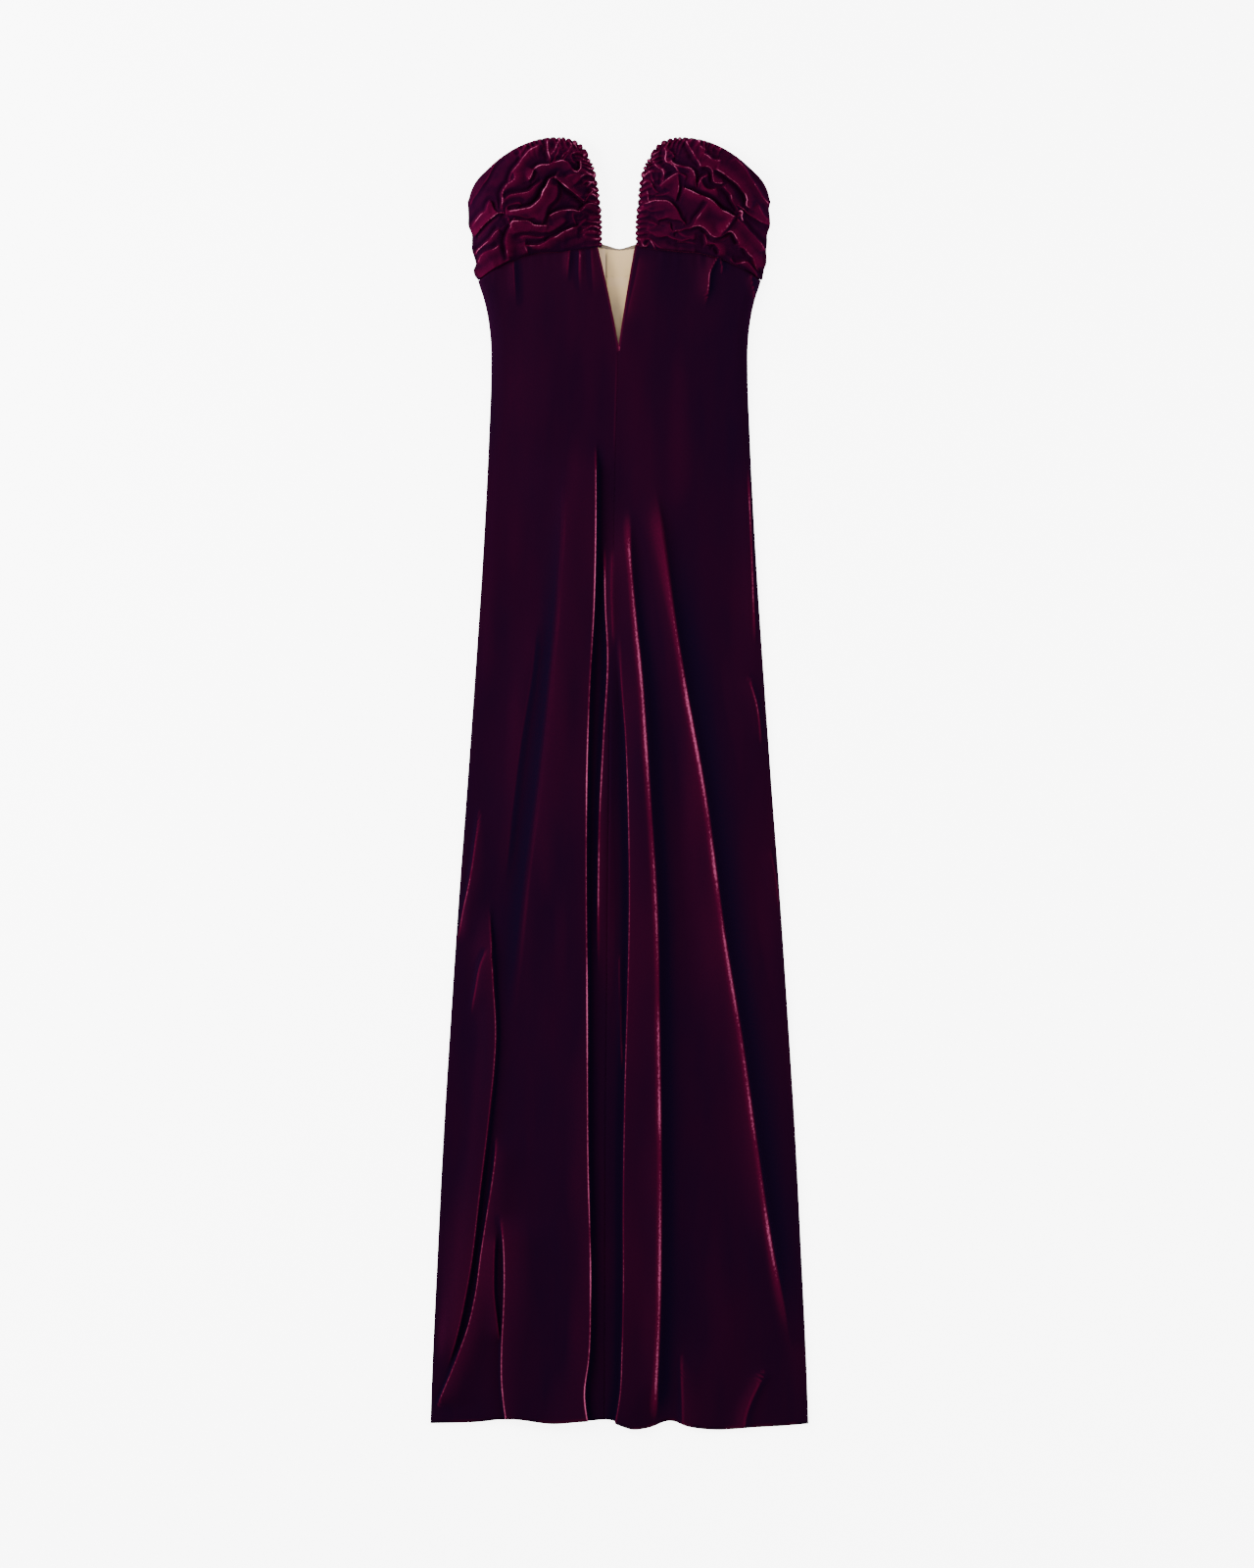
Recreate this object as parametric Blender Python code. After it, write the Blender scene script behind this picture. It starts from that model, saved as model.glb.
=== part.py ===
"""Strapless velvet bustier gown, laid on its back with its folds as they fall.

The gown lies on z = 0 with its cups toward +Y and its hem toward -Y, seen from above. Two
front panels run from under the bust to the hem and meet in a centre front seam, which ends
in a plunging V. Two ruched cups stand over them, each with a gathered casing along its free
edge. The back is two flat panels, and its lining shows through the V.

Every size is in millimetres, and MM turns a finished point into metres.
"""

import math

import bmesh
import bpy
import numpy as np

MM = 0.001

# Cloth and the gap that the pieces keep at a seam.
VELVET = 1.6
CUP_WALL = 2.4
LINING = 1.0
BACK_CLOTH = 1.8
SEAM_GAP = 0.3

# Heights along the gown, from its middle.
HEM_Y = -732.6
V_POINT_Y = 503.0
V_TOP_Y = 616.5
V_HALF_WIDTH = 22.5
UNDERBUST_Y = 605.0
NECK_BACK_Y = 615.5
NECK_BACK_SLOPE = 0.3

# How high the front lies above the surface, on its outer face.
SIDE_Z = 3.8
SKIRT_Z = 4.4
BODICE_Z = 16.0
EDGE_ROUND = 16.0
CUP_CROWN = 25.0
CUP_EDGE_Z = 14.0

# The gathered casing along a cup's free edge.
CASING_RADIUS = 3.3
CASING_PITCH = 7.6
CASING_PINCH = 0.2
CASING_ON_TOP = 0.42

# The gown's half width at heights from the hem up to the side end of the bust seam.
OUTLINE = [
    dict(y=-742.0, half_width=216.0),
    dict(y=-675.0, half_width=213.8),
    dict(y=-540.0, half_width=207.6),
    dict(y=-405.0, half_width=200.8),
    dict(y=-270.0, half_width=192.4),
    dict(y=-135.0, half_width=183.4),
    dict(y=0.0, half_width=173.3),
    dict(y=135.0, half_width=163.7),
    dict(y=270.0, half_width=154.9),
    dict(y=405.0, half_width=148.2),
    dict(y=470.0, half_width=146.0),
    dict(y=510.0, half_width=146.6),
    dict(y=540.0, half_width=150.6),
    dict(y=562.0, half_width=155.4),
    dict(y=578.0, half_width=160.0),
]

# How far the hem waves below its level, across the gown.
HEM_WAVES = [
    dict(x=-216.0, drop=0.9),
    dict(x=-160.0, drop=-0.8),
    dict(x=-129.0, drop=-4.2),
    dict(x=-75.0, drop=1.2),
    dict(x=-35.0, drop=-1.9),
    dict(x=-9.0, drop=-2.5),
    dict(x=14.0, drop=7.6),
    dict(x=33.0, drop=6.0),
    dict(x=58.0, drop=-1.9),
    dict(x=80.0, drop=4.8),
    dict(x=110.0, drop=8.3),
    dict(x=148.0, drop=6.0),
    dict(x=190.0, drop=3.7),
    dict(x=216.0, drop=1.5),
]

# The centre front seam, from the point of the V down to the hem.
CENTRE_SEAM = [
    dict(y=-742.0, x=-17.0),
    dict(y=-338.0, x=-15.5),
    dict(y=0.0, x=-11.0),
    dict(y=236.0, x=-7.5),
    dict(y=394.0, x=-4.0),
    dict(y=503.0, x=0.0),
]

# The skirt's folds. Each runs through four points of its crest, and falls away over
# `left` on its left and `right` on its right, so a small width is a rolled edge.
SKIRT_FOLDS = [
    dict(name="left_tongue", top=(-27, 385), upper=(-34, 56), lower=(-34, -506), bottom=(-36, -742),
         rise=9.0, left=62, right=3.2),
    dict(name="right_tongue", top=(0, 200), upper=(11.5, -90), lower=(4.5, -506), bottom=(-5, -742),
         rise=8.5, left=3.2, right=30),
    dict(name="inner_crease", top=(-13, 230), upper=(-18, 60), lower=(-23, -100), bottom=(-23, -260),
         rise=4.5, left=3.4, right=13),
    dict(name="broad_ridge", top=(7, 345), upper=(30, 56), lower=(46, -400), bottom=(41, -742),
         rise=7.5, left=17, right=8),
    dict(name="long_diagonal", top=(36, 370), upper=(82, 50), lower=(142, -315), bottom=(196, -655),
         rise=7.0, left=30, right=6.5),
    dict(name="left_soft", top=(-60, 375), upper=(-85, 67), lower=(-111, -150), bottom=(-134, -340),
         rise=4.5, left=9, right=26),
    dict(name="left_outer", top=(-94, 230), upper=(-109, 67), lower=(-127, -56), bottom=(-140, -170),
         rise=3.5, left=24, right=9),
    dict(name="side_tuck", top=(-157, -20), upper=(-165, -67), lower=(-176, -130), bottom=(-186, -175),
         rise=3.5, left=4, right=20),
    dict(name="slit_left", top=(-149, -140), upper=(-142, -290), lower=(-166, -530), bottom=(-204, -672),
         rise=6.5, left=17, right=3.0),
    dict(name="slit_right", top=(-142, -388), upper=(-150, -480), lower=(-172, -600), bottom=(-210, -722),
         rise=5.5, left=3.0, right=24),
    dict(name="panel_edge", top=(-137, -490), upper=(-133, -570), lower=(-136, -660), bottom=(-129, -742),
         rise=7.5, left=3.0, right=42),
    dict(name="slit_lip", top=(-142, -510), upper=(-145, -562), lower=(-141, -610), bottom=(-137, -650),
         rise=3.5, left=9, right=3.0),
    dict(name="hem_ridge", top=(70, -640), upper=(71, -675), lower=(72, -705), bottom=(73, -742),
         rise=4.5, left=5, right=26),
    dict(name="hem_dart", top=(168, -660), upper=(160, -690), lower=(151, -718), bottom=(146, -742),
         rise=4.0, left=8, right=14),
    dict(name="right_side", top=(146, 130), upper=(158, 60), lower=(165, 10), bottom=(170, -60),
         rise=2.6, left=12, right=6),
    dict(name="gather_a", top=(-46, 612), upper=(-46, 596), lower=(-46, 580), bottom=(-45, 562),
         rise=2.6, left=4, right=5),
    dict(name="gather_b", top=(-58, 612), upper=(-59, 600), lower=(-60, 588), bottom=(-61, 574),
         rise=2.4, left=5, right=4),
    dict(name="gather_c", top=(-126, 585), upper=(-123, 570), lower=(-119, 555), bottom=(-117, 535),
         rise=1.8, left=6, right=5),
    dict(name="gather_d", top=(103, 590), upper=(102, 578), lower=(101, 566), bottom=(98, 552),
         rise=3.2, left=8, right=3.4),
    dict(name="gather_e", top=(150, 572), upper=(152, 565), lower=(153, 557), bottom=(152, 545),
         rise=2.4, left=5, right=4),
]

# The four edges of a cup, as distance out from the centre line and height y.
CUP_SIDE = [(160.0, 578.0), (164.0, 590.0), (166.0, 610.0), (169.0, 633.0), (171.5, 650.0), (172.0, 668.0)]
CUP_TOP = [
    (172.0, 668.0), (166.5, 688.0), (151.0, 705.0), (130.5, 722.0), (111.0, 733.0),
    (90.0, 739.5), (67.0, 741.0), (52.0, 738.0), (42.5, 731.0),
]
CUP_INNER = [(42.5, 731.0), (34.0, 714.0), (28.5, 697.0), (25.5, 674.0), (22.8, 650.0), (22.5, 616.5)]
CUP_SEAM = [
    (160.0, 578.0), (143.0, 590.0), (122.0, 600.0), (98.0, 607.5),
    (64.0, 610.5), (39.0, 614.0), (22.5, 616.5),
]

# The ruching. A fold runs from start through middle to end, each as distance out from the
# centre line and height over the underbust, and drops away sharply toward `steep`.
OUT, IN, UP, DOWN = (1.0, 0.0), (-1.0, 0.0), (0.0, 1.0), (0.0, -1.0)

LEFT_RUCHES = [
    dict(start=(108, 127), middle=(123, 100), end=(131, 70), rise=4.2, steep=OUT),
    dict(start=(131, 72), middle=(135, 60), end=(133, 50), rise=4.0, steep=OUT),
    dict(start=(94, 128), middle=(106, 116), end=(120, 98), rise=3.2, steep=UP),
    dict(start=(83, 134), middle=(83, 120), end=(79, 106), rise=3.6, steep=OUT),
    dict(start=(69, 134), middle=(74, 121), end=(80, 111), rise=3.0, steep=OUT),
    dict(start=(53, 130), middle=(61, 119), end=(68, 109), rise=3.0, steep=OUT),
    dict(start=(106, 84), middle=(99, 96), end=(84, 102), rise=5.0, steep=UP),
    dict(start=(86, 102), middle=(68, 107), end=(53, 97), rise=5.2, steep=UP),
    dict(start=(55, 97), middle=(44, 98), end=(45, 109), rise=3.6, steep=IN),
    dict(start=(55, 118), middle=(54, 107), end=(50, 103), rise=3.4, steep=IN),
    dict(start=(74, 88), middle=(56, 74), end=(39, 62), rise=6.2, steep=UP),
    dict(start=(74, 88), middle=(86, 69), end=(100, 54), rise=6.0, steep=OUT),
    dict(start=(98, 54), middle=(114, 53), end=(130, 45), rise=4.6, steep=UP),
    dict(start=(129, 45), middle=(109, 42), end=(90, 35), rise=4.2, steep=DOWN),
    dict(start=(69, 65), middle=(81, 54), end=(86, 36), rise=3.6, steep=IN),
    dict(start=(81, 45), middle=(62, 52), end=(41, 53), rise=5.2, steep=UP),
    dict(start=(42, 54), middle=(36, 59), end=(25, 60), rise=3.4, steep=UP),
    dict(start=(39, 62), middle=(35, 71), end=(25, 76), rise=3.4, steep=UP),
    dict(start=(129, 63), middle=(112, 71), end=(89, 83), rise=4.6, steep=UP),
    dict(start=(117, 35), middle=(103, 40), end=(92, 34), rise=4.4, steep=UP),
    dict(start=(94, 34), middle=(80, 35), end=(59, 40), rise=3.4, steep=UP),
    dict(start=(120, 33), middle=(130, 18), end=(126, -3), rise=4.6, steep=OUT),
    dict(start=(114, 25), middle=(85, 26), end=(60, 38), rise=3.8, steep=DOWN),
    dict(start=(105, 10), middle=(78, 18), end=(46, 31), rise=5.4, steep=UP),
    dict(start=(106, 10), middle=(80, 3), end=(46, 10), rise=4.6, steep=DOWN),
    dict(start=(171, 56), middle=(156, 82), end=(139, 107), rise=3.2, steep=OUT),
    dict(start=(168, 33), middle=(157, 50), end=(146, 61), rise=3.8, steep=UP),
    dict(start=(149, 62), middle=(141, 50), end=(131, 48), rise=3.6, steep=UP),
    dict(start=(167, 25), middle=(152, 40), end=(132, 48), rise=4.6, steep=DOWN),
    dict(start=(165, 7), middle=(150, 20), end=(138, 30), rise=4.6, steep=UP),
    dict(start=(163, -4), middle=(149, 5), end=(134, 11), rise=4.2, steep=UP),
    dict(start=(158, -24), middle=(140, -13), end=(120, -6), rise=4.8, steep=DOWN),
]

RIGHT_RUCHES = [
    dict(start=(75, 134), middle=(84, 114), end=(92, 100), rise=4.0, steep=IN),
    dict(start=(92, 103), middle=(106, 98), end=(109, 82), rise=4.2, steep=UP),
    dict(start=(109, 82), middle=(117, 79), end=(127, 84), rise=3.6, steep=DOWN),
    dict(start=(91, 132), middle=(98, 117), end=(113, 108), rise=4.2, steep=UP),
    dict(start=(112, 108), middle=(124, 107), end=(136, 100), rise=3.0, steep=UP),
    dict(start=(132, 114), middle=(150, 88), end=(170, 60), rise=3.4, steep=OUT),
    dict(start=(110, 98), middle=(130, 86), end=(146, 60), rise=4.8, steep=UP),
    dict(start=(118, 80), middle=(129, 68), end=(134, 48), rise=5.0, steep=OUT),
    dict(start=(94, 88), middle=(103, 73), end=(120, 77), rise=4.2, steep=DOWN),
    dict(start=(90, 80), middle=(94, 88), end=(102, 91), rise=3.4, steep=UP),
    dict(start=(57, 103), middle=(80, 100), end=(89, 77), rise=5.0, steep=UP),
    dict(start=(46, 80), middle=(62, 95), end=(78, 88), rise=4.8, steep=UP),
    dict(start=(65, 90), middle=(68, 77), end=(64, 61), rise=3.6, steep=IN),
    dict(start=(73, 76), middle=(95, 66), end=(118, 50), rise=6.4, steep=UP),
    dict(start=(117, 50), middle=(128, 44), end=(141, 48), rise=5.6, steep=UP),
    dict(start=(102, 61), middle=(88, 46), end=(76, 33), rise=5.4, steep=OUT),
    dict(start=(78, 33), middle=(64, 25), end=(56, 38), rise=4.0, steep=DOWN),
    dict(start=(126, 41), middle=(120, 34), end=(111, 26), rise=4.0, steep=OUT),
    dict(start=(40, 59), middle=(58, 60), end=(77, 35), rise=4.8, steep=UP),
    dict(start=(36, 41), middle=(54, 44), end=(75, 34), rise=3.8, steep=DOWN),
    dict(start=(25, 58), middle=(34, 51), end=(54, 52), rise=3.4, steep=DOWN),
    dict(start=(76, 30), middle=(97, 34), end=(111, 20), rise=5.4, steep=UP),
    dict(start=(110, 20), middle=(124, 26), end=(136, 8), rise=5.0, steep=UP),
    dict(start=(135, 8), middle=(146, 4), end=(156, -14), rise=4.4, steep=UP),
    dict(start=(29, 28), middle=(52, 18), end=(85, 19), rise=4.0, steep=UP),
    dict(start=(36, 16), middle=(62, 3), end=(95, 0), rise=4.8, steep=DOWN),
    dict(start=(100, 14), middle=(113, 10), end=(114, -4), rise=5.0, steep=OUT),
    dict(start=(135, 49), middle=(148, 37), end=(170, 33), rise=4.2, steep=DOWN),
    dict(start=(135, 41), middle=(152, 24), end=(164, 7), rise=4.6, steep=DOWN),
    dict(start=(127, -3), middle=(146, -8), end=(157, -24), rise=4.4, steep=DOWN),
    dict(start=(36, 112), middle=(50, 97), end=(48, 80), rise=3.6, steep=IN),
    dict(start=(46, 124), middle=(54, 109), end=(66, 96), rise=3.6, steep=UP),
    dict(start=(31, 87), middle=(39, 78), end=(46, 68), rise=3.2, steep=UP),
]
RUCHE_WIDE = 8.5
RUCHE_SHARP = 4.4
RUCHE_SAMPLES = 9

# The flat pieces: how far a back panel stays inside the front's outline, and the lining's edges.
BACK_INSET = 0.5
BACK_HEM_RISE = 3.0
LINING_TOP_Y = 613.0
LINING_TOP_SLOPE = 0.12
LINING_LOW_Y = 400.0
LINING_TOP_HALF = 130.0
LINING_LOW_HALF = 124.0

# Mesh rows and columns: a front panel's, and a cup's, whose inside has half as many.
PANEL_COLUMNS = 23
PANEL_ROWS = 27
CUP_COLUMNS = 30
CUP_ROWS = 26
CASING_SIDES = 7
CASING_STEPS = 3


def column(rows, name):
    """One named column of a table."""
    return np.array([row[name] for row in rows], float)


def smooth(at, known, values):
    """A smooth curve through the known values, read at each place in `at`."""
    at = np.clip(np.asarray(at, float), known[0], known[-1])
    slope = np.gradient(values, known)
    i = np.clip(np.searchsorted(known, at, side="right") - 1, 0, len(known) - 2)
    span = known[i + 1] - known[i]
    t = (at - known[i]) / span
    rise = (2 * t**3 - 3 * t**2 + 1) * values[i] + (3 * t**2 - 2 * t**3) * values[i + 1]
    lean = (t**3 - 2 * t**2 + t) * slope[i] + (t**3 - t**2) * slope[i + 1]
    return rise + lean * span


def along(points, share):
    """A point of the smooth curve through these points, at shares 0 to 1 of its length."""
    points = np.array(points, float)
    steps = np.linalg.norm(np.diff(points, axis=0), axis=1)
    reach = np.concatenate([[0.0], np.cumsum(steps)]) / steps.sum()
    return np.stack([smooth(share, reach, points[:, k]) for k in (0, 1)], axis=-1)


def ease(low, high, value):
    """0 below low, 1 above high, and smooth between them."""
    t = np.clip((value - low) / (high - low), 0.0, 1.0)
    return t * t * (3.0 - 2.0 * t)


def half_width(y):
    return smooth(y, column(OUTLINE, "y"), column(OUTLINE, "half_width"))


def hem_y(x):
    return HEM_Y - smooth(x, column(HEM_WAVES, "x"), column(HEM_WAVES, "drop"))


def seam_y(out):
    """The underbust seam's height, at a distance out from the centre line."""
    seam = np.array(CUP_SEAM[::-1])
    return smooth(out, seam[:, 0], seam[:, 1])


def front_edge_x(y, side):
    """Where a front panel ends at the centre: at the seam, or at the edge of the V."""
    seam = smooth(y, column(CENTRE_SEAM, "y"), column(CENTRE_SEAM, "x"))
    opening = V_HALF_WIDTH * np.clip((y - V_POINT_Y) / (V_TOP_Y - V_POINT_Y), 0.0, 1.0)
    return seam + side * np.maximum(opening, SEAM_GAP / 2)


def front_height(x, y):
    """The height of the front's outer face before its folds."""
    level = SKIRT_Z + (BODICE_Z - SKIRT_Z) * ease(300.0, UNDERBUST_Y, y) ** 1.3
    inward = np.clip((half_width(y) - np.abs(x)) / EDGE_ROUND, 0.0, 1.0)
    return SIDE_Z + (level - SIDE_Z) * np.sqrt(1.0 - (1.0 - inward) ** 2)


def fold_reach(fold, y):
    """A skirt fold's crest x at these heights, and how much of it there is there."""
    path = np.array([fold["bottom"], fold["lower"], fold["upper"], fold["top"]], float)
    crest = smooth(y, path[:, 1], path[:, 0])
    length = path[3, 1] - path[0, 1]
    present = ease(path[3, 1] + 0.02 * length, path[3, 1] - 0.28 * length, y)
    if path[0, 1] > HEM_Y:
        present = present * ease(path[0, 1] - 0.02 * length, path[0, 1] + 0.3 * length, y)
    return crest, present


def fold_height(x, y):
    """What the folds add to the front's height."""
    total = np.zeros_like(x)
    side_fade = ease(0.0, 14.0, half_width(y) - np.abs(x))
    for fold in SKIRT_FOLDS:
        crest, present = fold_reach(fold, y)
        off = x - crest
        width = np.where(off < 0, fold["left"], fold["right"])
        total += fold["rise"] * present * np.exp(-((off / width) ** 2))
    return total * side_fade


def panel_columns(y, side):
    """Shares from the side to the centre, closer together where folds turn sharply."""
    fine = np.linspace(0.0, 1.0, 400)
    edge = side * half_width(y)
    x = edge + (front_edge_x(y, side) - edge) * fine
    weight = np.ones_like(fine)
    for fold in SKIRT_FOLDS:
        crest, present = fold_reach(fold, np.array([y]))
        sharp = min(fold["left"], fold["right"])
        toward = 1.0 if fold["right"] < fold["left"] else -1.0
        near = (x - crest - toward * 0.6 * sharp) / (1.3 * sharp + 1.5)
        weight += 0.55 * fold["rise"] * present * np.exp(-(near**2))
    weight += 3.0 * np.exp(-((fine * abs(edge) / 7.0) ** 2))
    reach = np.concatenate([[0.0], np.cumsum((weight[1:] + weight[:-1]) / 2)])
    return np.interp(np.linspace(0.0, reach[-1], PANEL_COLUMNS + 1), reach, fine)


def panel_points(side):
    """The outer face of a front panel, as rows from the hem up to the bust seam."""
    share = np.linspace(0.0, 1.0, PANEL_ROWS + 1)
    share = share + 0.045 * np.sin(2 * math.pi * share)
    rows = []
    for v in share:
        y_guess = HEM_Y + (UNDERBUST_Y - HEM_Y) * v
        u = panel_columns(min(y_guess, 560.0), side)
        x = side * half_width(y_guess) * (1 - u) + front_edge_x(y_guess, side) * u
        for _ in range(3):
            y = HEM_Y + (seam_y(np.abs(x)) - SEAM_GAP / 2 - HEM_Y) * v
            x = side * half_width(y) * (1 - u) + front_edge_x(y, side) * u
        y = y + (hem_y(x) - HEM_Y) * (1 - v) ** 6
        z = front_height(x, y) + fold_height(x, y)
        rows.append(np.stack([x, y, z], axis=-1))
    return np.array(rows)


def free_edge(share, back):
    """A cup's free edge, from the underbust up its inner side and over its top, set back
    into the cup by `back`. Gives the points and the way that the edge runs."""
    edge = np.array(CUP_INNER[::-1] + CUP_TOP[-2::-1], float)
    here, ahead, behind = along(edge, share), along(edge, share + 0.003), along(edge, share - 0.003)
    way = (ahead - behind) / np.linalg.norm(ahead - behind, axis=-1, keepdims=True)
    inward = np.stack([way[..., 1], -way[..., 0]], axis=-1)
    return here + inward * np.asarray(back)[..., None], way


def edge_length(points):
    return np.linalg.norm(np.diff(np.array(points, float), axis=0), axis=1).sum()


def casing_radius(share):
    """The casing thins out toward its end on the cup's top."""
    end = casing_end()[1]
    return CASING_RADIUS * (1 - 0.6 * ease(end - 0.16, end, share))


def casing_end():
    """The share of the free edge at its corner, and where the casing ends."""
    inner, top = edge_length(CUP_INNER), edge_length(CUP_TOP)
    return inner / (inner + top), (inner + CASING_ON_TOP * top) / (inner + top)


def cup_plan(u, v):
    """A cup's plan, as distance out from the centre line and height y. It stands back from
    its free edge wherever the casing runs."""
    corner, end = casing_end()
    inner = free_edge(corner * v, 2 * casing_radius(corner * v) + SEAM_GAP)[0]
    over = 1 - (1 - corner) * u
    width = (2 * casing_radius(over) + SEAM_GAP) * ease(end + 0.06, end, over)
    top = free_edge(over, width)[0]
    first, last = CUP_SEAM[0][0], CUP_SEAM[-1][0] + 2 * CASING_RADIUS + SEAM_GAP
    out = first + (last - first) * u
    seam = np.stack([out, seam_y(out) + SEAM_GAP / 2], axis=-1)
    side = along(CUP_SIDE, v) + np.stack([0 * v, SEAM_GAP / 2 * (1 - v)], axis=-1)
    u, v = u[..., None], v[..., None]
    low = (1 - u) * seam[0, 0] + u * seam[-1, -1]
    inner = inner + (1 - v) * (seam[-1, -1] - inner[0, 0])
    high = (1 - u) * side[-1, -1] + u * inner[-1, -1]
    return (1 - v) * seam + v * top + (1 - u) * side + u * inner - (1 - v) * low - v * high


def cup_inside(u, v, plan):
    """The height of a cup's plain inside: its edges, and the crown that they carry."""
    seam_z = front_height(plan[..., 0], seam_y(plan[..., 0]))
    rest_z = BACK_CLOTH + SEAM_GAP + CUP_WALL
    side_z = rest_z + (CUP_EDGE_Z - rest_z) * ease(0.0, 0.22, u)
    rim_z = side_z + (BODICE_Z - CUP_EDGE_Z) * ease(0.4, 1.0, u) * (1 - v)
    edge = seam_z + (rim_z - seam_z) * ease(0.0, 0.5, v)
    edge = np.clip(edge, rest_z, side_z + 40.0 * u)
    crown = np.sin(math.pi * np.clip(u, 0, 1)) ** 0.8 * np.sin(math.pi * np.clip(v, 0, 1)) ** 0.8
    return edge - CUP_WALL + CUP_CROWN * crown


def ruche_height(plan, ruches):
    """What the ruching adds to a cup's outer face."""
    place = plan - np.array([0.0, UNDERBUST_Y])
    total = np.zeros(place.shape[:-1])
    t = np.linspace(0.0, 1.0, RUCHE_SAMPLES)[:, None]
    for ruche in ruches:
        a, b, c = (np.array(ruche[k], float) for k in ("start", "middle", "end"))
        bend = 2 * b - (a + c) / 2
        path = (1 - t) ** 2 * a + 2 * t * (1 - t) * bend + t**2 * c
        nearest = np.full(total.shape, 1e9)
        height = np.zeros(total.shape)
        for k in range(RUCHE_SAMPLES - 1):
            p, step = path[k], path[k + 1] - path[k]
            share = np.clip(((place - p) @ step) / (step @ step), 0.0, 1.0)
            off = place - (p + share[..., None] * step)
            distance = np.linalg.norm(off, axis=-1)
            across = np.array([-step[1], step[0]]) / np.linalg.norm(step)
            if across @ np.array(ruche["steep"]) < 0:
                across = -across
            sharp = off @ across > 0
            width = np.where(sharp, RUCHE_SHARP, RUCHE_WIDE)
            taper = np.sin(math.pi * np.clip((k + share) / (RUCHE_SAMPLES - 1), 0.04, 0.96)) ** 0.5
            here = ruche["rise"] * taper * np.exp(-((distance / width) ** 2))
            closer = distance < nearest
            nearest = np.where(closer, distance, nearest)
            height = np.where(closer, here, height)
        total += height
    return total


def cup_points(side, ruches):
    """A cup's outer and inner faces. The edges stay plain where another piece meets them."""
    u, v = np.meshgrid(np.linspace(0, 1, CUP_COLUMNS + 1), np.linspace(0, 1, CUP_ROWS + 1))
    plan = cup_plan(u, v)
    inside = cup_inside(u, v, plan)
    calm = ease(0.0, 0.06, u) * ease(0.0, 0.05, v) * ease(0.0, 0.05, 1 - u) * ease(0.0, 0.05, 1 - v)
    outside = inside + CUP_WALL + 0.85 * calm * ruche_height(plan, ruches)
    x = side * plan[..., 0]
    return np.stack([x, plan[..., 1], outside], -1), np.stack([x, plan[..., 1], inside], -1)


def link(name, bm, material):
    """An object of its own for a finished piece, with outward faces."""
    bmesh.ops.recalc_face_normals(bm, faces=bm.faces)
    mesh = bpy.data.meshes.new(name)
    bm.to_mesh(mesh)
    bm.free()
    mesh.materials.append(material)
    mesh.shade_smooth()
    mesh.set_sharp_from_angle(angle=math.radians(50))
    piece = bpy.data.objects.new(name, mesh)
    bpy.context.scene.collection.objects.link(piece)
    return piece


def grid_faces(bm, points):
    """A sheet of quads through rows of points, and its vertices."""
    verts = [[bm.verts.new(np.array(p) * MM) for p in row] for row in points]
    for low, high in zip(verts, verts[1:]):
        for k in range(len(low) - 1):
            bm.faces.new((low[k], low[k + 1], high[k + 1], high[k]))
    return verts


def border(verts):
    """The vertices round a sheet's edge, in order."""
    bottom, top = verts[0], verts[-1]
    right = [row[-1] for row in verts[1:-1]]
    left = [row[0] for row in verts[1:-1]]
    return bottom + right + top[::-1] + left[::-1]


def make_panel(name, side, material):
    """A front panel: its outer face, given the cloth's thickness inward."""
    points = panel_points(side)
    if side > 0:
        points = points[:, ::-1]
    bm = bmesh.new()
    outer = grid_faces(bm, points)
    bm.normal_update()
    inner = [[bm.verts.new(v.co - v.normal * VELVET * MM) for v in row] for row in outer]
    for low, high in zip(inner, inner[1:]):
        for k in range(len(low) - 1):
            bm.faces.new((low[k], high[k], high[k + 1], low[k + 1]))
    rim, lining_rim = border(outer), border(inner)
    for k, vert in enumerate(lining_rim):
        vert.co.x, vert.co.y = rim[k].co.x, rim[k].co.y
        vert.co.z = rim[k].co.z - VELVET * MM
    for k in range(len(rim)):
        bm.faces.new((rim[k], rim[k - 1], lining_rim[k - 1], lining_rim[k]))
    return link(name, bm, material)


def make_cup(name, side, ruches, material):
    """A ruched cup over a plain inside, which has every second row and column."""
    outside, inside = cup_points(side, ruches)
    if side > 0:
        outside, inside = outside[:, ::-1], inside[:, ::-1]
    bm = bmesh.new()
    outer = grid_faces(bm, outside)
    inner = grid_faces(bm, inside[::2, ::2])
    rim, inner_rim = border(outer), border(inner)
    for k, vert in enumerate(inner_rim):
        last = inner_rim[k - 1]
        a, middle, b = rim[2 * k - 2], rim[2 * k - 1], rim[2 * k]
        bm.faces.new((a, middle, last))
        bm.faces.new((middle, b, vert))
        bm.faces.new((middle, vert, last))
    return link(name, bm, material)


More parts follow.
